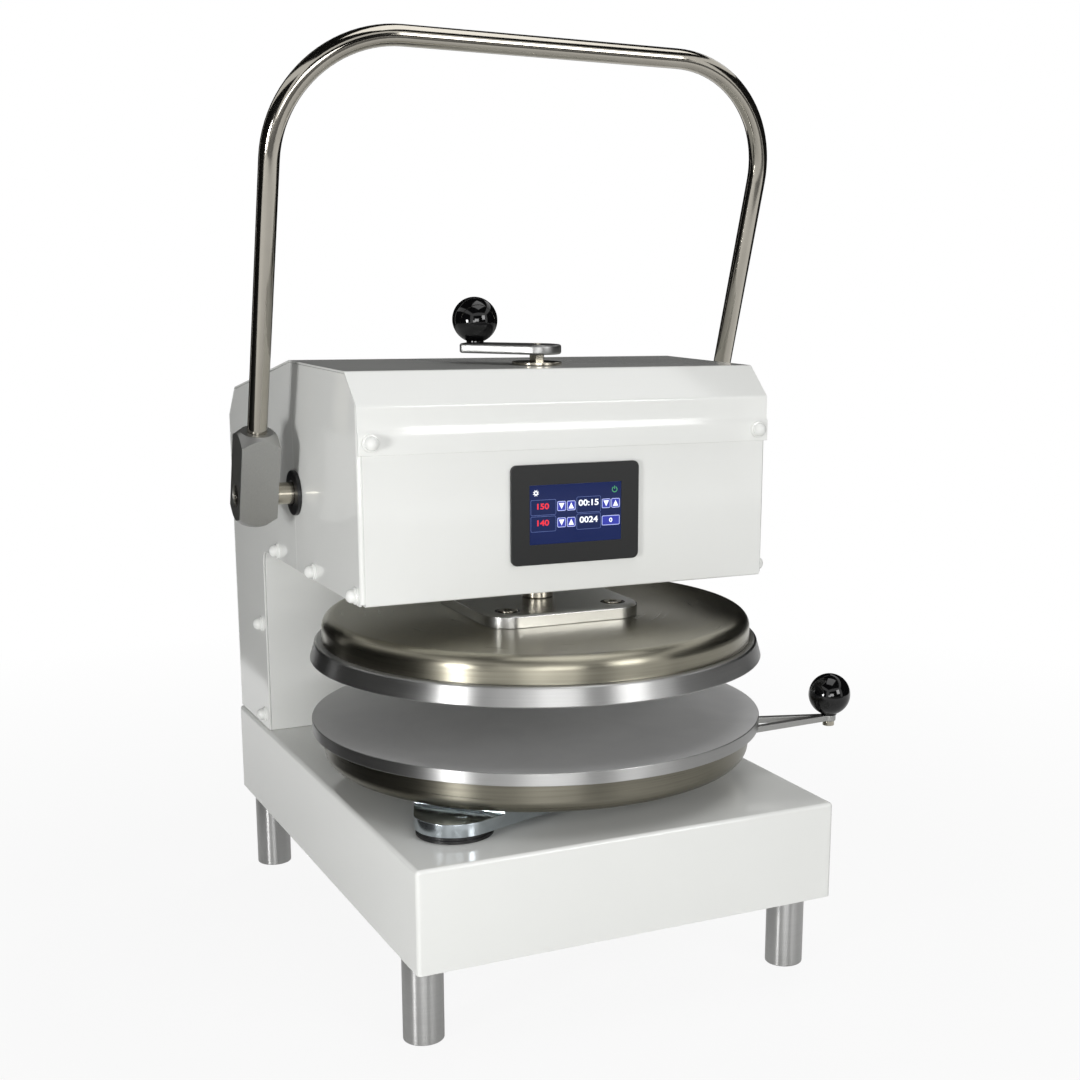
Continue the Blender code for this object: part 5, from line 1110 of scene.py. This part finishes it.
class PRESS_OT_swing_arm(PieceOperator):
    """Round the swing arm's edges, and turn its two-step washer and the plug over its pivot."""

    bl_idname = "press.swing_arm"
    bl_label = "Swing arm"

    def build(self, sizes):
        low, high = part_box("swing_arm")
        pivot = middle("pivot_post")
        toward = Vector((PLATEN_AXIS.x - pivot.x, PLATEN_AXIS.y - pivot.y))
        reach, aim = toward.length, math.atan2(toward.y, toward.x)
        end, carrier, thick, step_at = 37.5 * MM, 126 * MM, 12.7 * MM, 10 * MM
        flare = math.degrees(math.asin((carrier - end) / reach))
        outline = arc((0.0, 0.0), end, 90 + flare, 270 - flare, 40)
        outline += arc((reach, 0.0), carrier, -90 - flare, 90 + flare, 72)
        arm = cut_plate("plated_swing_arm", outline, 0.0, high.z - low.z)
        room = (100 * MM, 200 * MM, 20 * MM)
        carve(arm, block("step", room, (step_at - room[0] / 2, 0.0, thick + room[2] / 2)))
        rounded_edges(arm, 0.7 * MM, 3, 50.0)
        settle(arm, over(pivot, low.z), (0.0, 0.0, aim))
        hand_over(arm, "swing_carrier", "zinc_plate", "swing_arm")
        self.turn_washer(pivot)
        self.press_plug(pivot, low.z + thick)

    def turn_washer(self, pivot):
        low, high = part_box("pivot_washer")
        radius, bore, split = (high.x - low.x) / 2, 12.8 * MM, (low.z + high.z) / 2
        upper, edge, groove = radius - MM, 0.4 * MM, 0.3 * MM
        turn_piece("stepped_washer", [
            (bore, low.z), (radius - edge, low.z), (radius, low.z + edge), (radius, split - groove),
            (radius - groove, split), (upper, split), (upper, high.z - groove), (upper - groove, high.z),
            (bore, high.z), (bore, low.z),
        ], 80, over(pivot), "machine_frame", "bearing_plastic", "pivot_washer")

    def press_plug(self, pivot, top):
        """The plated plug in the arm's pivot end, nearly flush."""
        radius, rim, height, hollow, sunk = 7.6 * MM, 5.6 * MM, 0.5 * MM, 0.2 * MM, 0.1 * MM
        spot = (pivot.x + 3 * MM, pivot.y - 11 * MM, top - sunk)
        turn_piece("pivot_plug", [
            (0.0, 0.0), (radius, 0.0), (radius, height / 2), (radius - height, height), (rim, height),
            (rim - 0.4 * MM, hollow), (0.0, hollow),
        ], 40, spot, "swing_carrier", "zinc_plate")


class PRESS_OT_swing_handle(PieceOperator):
    """Round the fork's edges, and turn its ball and the socket screw under it."""

    bl_idname = "press.swing_handle"
    bl_label = "Swing handle"

    def build(self, sizes):
        fork = sheet_copy("swing_fork", "welded_fork", sizes.edge_round)
        hand_over(fork, "swing_carrier", "satin_steel", "swing_fork")
        ball_knob("swing_ball", sizes.ball_diameter, "swing_knob", "swing_carrier")
        low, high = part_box("swing_knob_bolt")
        head = 5 * MM
        screw = socket_screw("knob_screw", (high.x - low.x) / 2, head, 2 * MM, 2.6 * MM)
        settle(screw, over(middle("swing_knob"), low.z + head), (math.pi, 0.0, 0.0))
        hand_over(screw, "swing_carrier", "bright_steel", "swing_knob_bolt")


class PRESS_OT_inner_works(PieceOperator):
    """Finish the inner and hidden pieces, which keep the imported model's shape."""

    bl_idname = "press.inner_works"
    bl_label = "Inner works"

    def build(self, sizes):
        for finish, nodes in INNER_FINISHES.items():
            for node in nodes:
                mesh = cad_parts[node].data
                mesh.materials.clear()
                mesh.materials.append(finish_called(finish))


class PRESS_OT_gland(PieceOperator):
    """Turn the cable inlet low on the back."""

    bl_idname = "press.gland"
    bl_label = "Cable inlet"

    def build(self, sizes):
        low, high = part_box("cable_gland")
        centre, back = (low + high) / 2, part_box("rear_cover")[1].y
        bore, barrel, nut, cap, mouth = 4 * MM, 8 * MM, 10.5 * MM, 8.8 * MM, 7 * MM
        inside, reach = low.y - back, high.y - back
        turn_piece("moulded_gland", [
            (bore, inside), (barrel, inside), (barrel, SEAT_GAP), (nut, SEAT_GAP), (nut, 4.5 * MM),
            (nut - 0.8 * MM, 5.3 * MM), (cap + 0.4 * MM, 5.6 * MM), (cap, reach - 2 * MM), (mouth, reach),
            (bore, reach), (bore, inside),
        ], 40, (centre.x, back, centre.z), "machine_frame", "bearing_plastic", "cable_gland",
            turn=(-QUARTER, 0.0, 0.0))


# Studio: places and sizes in metres

STUDIO_AIM = (-0.02, -0.05, 0.40)
LAMPS = {
    "key": ((1.1, -2.7, 1.25), STUDIO_AIM, (0.8, 1.0)),
    "top": ((0.3, -0.4, 2.6), STUDIO_AIM, (1.8, 1.4)),
    "fill": ((-0.6, -2.6, 0.62), (-0.1, 0.0, 0.3), (0.9, 0.6)),
    "low": ((-1.1, -2.3, 0.35), (-0.2, 0.1, 0.28), (0.5, 0.4)),
    "left": ((-1.7, -0.95, 0.45), (-0.2, 0.0, 0.42), (0.3, 0.4)),
    "back": ((1.6, 1.7, 1.3), STUDIO_AIM, (1.2, 1.0)),
}
DARK, GREY = "#1A1A1A", "#7C7C7C"
CARDS = {
    "dark_card_left": ((-2.3, 0.2, 1.0), (0.0, 0.2, 1.0), (5.0, 2.0), DARK),
    "dark_card_right": ((2.2, 0.2, 1.0), (0.0, 0.2, 1.0), (5.0, 2.0), DARK),
    "dark_card_back": ((0.1, 2.4, 1.45), (0.1, 0.0, 1.45), (4.0, 2.9), DARK),
    "dark_card_front": ((0.1, -3.4, 1.0), (0.1, 0.0, 1.0), (4.0, 2.0), DARK),
    "dark_card_above": ((0.0, -0.4, 2.9), (0.0, -0.4, 0.0), (4.4, 5.4), DARK),
    "dark_card_low": ((-1.38, 1.0, 0.003), (-1.38, 1.0, 1.0), (1.84, 2.8), DARK),
    "grey_card_low": ((0.2, -2.15, 0.003), (0.2, -2.15, 1.0), (3.4, 1.7), GREY),
}
FLOOR_SIZE = 14.0
FADE_START, FADE_END = 0.5, 1.5
CAMERA_SPOT = (-0.67671, -1.58071, 0.69047)
CAMERA_TURNS = ((-28.69, "Z"), (77.06, "X"), (0.94, "Z"))
CAMERA_SHIFT = (-0.12611, 0.09664)


def facing(spot, aim, front):
    """The turn that points an object's front from its spot to what it is aimed at."""
    return (Vector(aim) - Vector(spot)).to_track_quat(front, "Y").to_euler()


class PRESS_OT_studio(bpy.types.Operator):
    """Lay the floor, hang the lamps and cards, and set the camera."""

    bl_idname = "press.studio"
    bl_label = "Studio"
    bl_options = {"REGISTER", "UNDO"}

    def execute(self, context):
        studio = context.scene.press_studio
        context.scene.view_settings.view_transform = "Standard"
        self.lay_floor()
        self.light_world(context.scene, studio)
        for name, lamp in LAMPS.items():
            self.hang_lamp(f"{name}_lamp", *lamp, getattr(studio, f"{name}_power"), name != "back")
        for name, card in CARDS.items():
            self.hang_card(name, *card)
        self.set_camera(context.scene, studio)
        return {"FINISHED"}

    def lay_floor(self):
        """A pale floor that fades to white away from the press, for the camera and for what mirrors it."""
        clear_selection()
        bpy.ops.mesh.primitive_plane_add(size=FLOOR_SIZE, location=ZERO)
        floor = name_piece("floor")
        material, tree, shader, spot = new_finish(
            "pale_floor", base_color=linear("#CDCDCC"), roughness=0.9, specular_ior_level=0.1
        )
        path = add(tree, "ShaderNodeLightPath")
        glow = add(tree, "ShaderNodeEmission", {"Color": (1.0, 1.0, 1.0, 1.0), "Strength": 1.0})
        away = add(tree, "ShaderNodeVectorMath", {0: spot}, operation="LENGTH")
        shares = []
        for ray, near_share in (("Is Camera Ray", 0.91), ("Is Glossy Ray", 0.25)):
            fade = add(tree, "ShaderNodeMapRange", {
                "Value": away.outputs["Value"], "From Min": FADE_START, "From Max": FADE_END,
                "To Min": near_share, "To Max": 1.0,
            })
            pair = {0: path.outputs[ray], 1: fade.outputs["Result"]}
            shares.append(add(tree, "ShaderNodeMath", pair, operation="MULTIPLY").outputs["Value"])
        share = add(tree, "ShaderNodeMath", {0: shares[0], 1: shares[1]}, operation="MAXIMUM")
        mixed = add(tree, "ShaderNodeMixShader", {
            0: share.outputs["Value"], 1: shader.outputs["BSDF"], 2: glow.outputs["Emission"]
        })
        tree.links.new(mixed.outputs["Shader"], tree.nodes["Material Output"].inputs["Surface"])
        floor.data.materials.append(material)

    def light_world(self, scene, studio):
        """A world that is white where it is seen or mirrored, and lights the press only faintly."""
        scene.world = bpy.data.worlds.new("studio")
        scene.world.use_nodes = True
        tree = scene.world.node_tree
        path = add(tree, "ShaderNodeLightPath")
        seen = path.outputs["Is Camera Ray"]
        for ray in ("Is Glossy Ray", "Is Transmission Ray"):
            pair = {0: seen, 1: path.outputs[ray]}
            seen = add(tree, "ShaderNodeMath", pair, operation="MAXIMUM").outputs["Value"]
        level = add(tree, "ShaderNodeMapRange", {"Value": seen, "To Min": studio.ambient, "To Max": 1.0})
        background = tree.nodes["Background"]
        background.inputs["Color"].default_value = (1.0, 1.0, 1.0, 1.0)
        tree.links.new(level.outputs["Result"], background.inputs["Strength"])

    def hang_lamp(self, name, spot, aim, size, power, mirrored):
        clear_selection()
        bpy.ops.object.light_add(type="AREA", location=spot)
        lamp = bpy.context.object
        lamp.name = name
        lamp.data.shape = "RECTANGLE"
        lamp.data.size, lamp.data.size_y = size
        lamp.data.energy = power
        lamp.visible_camera = False
        lamp.visible_glossy = mirrored
        lamp.rotation_euler = facing(spot, aim, "-Z")

    def hang_card(self, name, spot, aim, size, colour):
        """A card that only shows in the metal and the gloss, as the unlit parts of a studio do."""
        clear_selection()
        bpy.ops.mesh.primitive_plane_add(size=1.0, location=spot)
        card = name_piece(name)
        card.scale = (*size, 1.0)
        card.rotation_euler = facing(spot, aim, "Z")
        card.data.materials.append(new_finish("dark_card", base_color=linear(colour), roughness=1.0)[0])
        card.visible_camera = card.visible_diffuse = card.visible_shadow = False
        card.visible_transmission = card.visible_volume_scatter = False

    def set_camera(self, scene, studio):
        """The photograph's camera, as it was fitted to the press's corners."""
        clear_selection()
        bpy.ops.object.camera_add(location=CAMERA_SPOT)
        camera = bpy.context.object
        matrix = Matrix.Translation(CAMERA_SPOT)
        for degrees, axis in CAMERA_TURNS:
            matrix = matrix @ Matrix.Rotation(math.radians(degrees), 4, axis)
        camera.matrix_world = matrix
        camera.data.sensor_width = 36.0
        camera.data.lens = studio.lens
        camera.data.shift_x, camera.data.shift_y = CAMERA_SHIFT
        scene.camera = camera


PIECES = (
    PRESS_OT_legs, PRESS_OT_casing, PRESS_OT_dome_nuts, PRESS_OT_display, PRESS_OT_handle,
    PRESS_OT_cross_shaft, PRESS_OT_upper_platen, PRESS_OT_mounting_plate, PRESS_OT_crank,
    PRESS_OT_lower_platen, PRESS_OT_swing_arm, PRESS_OT_swing_handle, PRESS_OT_inner_works, PRESS_OT_gland,
    PRESS_OT_studio,
)


class PRESS_PT_panel(bpy.types.Panel):
    bl_label = "Dough press"
    bl_idname = "PRESS_PT_panel"
    bl_space_type = "VIEW_3D"
    bl_region_type = "UI"
    bl_category = "Dough press"

    def draw(self, context):
        layout = self.layout
        for group in (context.scene.press_sizes, context.scene.press_finishes, context.scene.press_studio):
            column = layout.column()
            for key in group.__annotations__:
                column.prop(group, key)
        for piece in PIECES:
            layout.operator(piece.bl_idname)


CLASSES = (PressSizes, PressFinishes, PressStudio, *PIECES, PRESS_PT_panel)


def register():
    for cls in CLASSES:
        bpy.utils.register_class(cls)
    bpy.types.Scene.press_sizes = bpy.props.PointerProperty(type=PressSizes)
    bpy.types.Scene.press_finishes = bpy.props.PointerProperty(type=PressFinishes)
    bpy.types.Scene.press_studio = bpy.props.PointerProperty(type=PressStudio)


def unregister():
    del bpy.types.Scene.press_sizes, bpy.types.Scene.press_finishes, bpy.types.Scene.press_studio
    for cls in reversed(CLASSES):
        bpy.utils.unregister_class(cls)


def main():
    register()
    for piece in PIECES:
        group, name = piece.bl_idname.split(".")
        getattr(getattr(bpy.ops, group), name)()


if __name__ == "__main__":
    main()
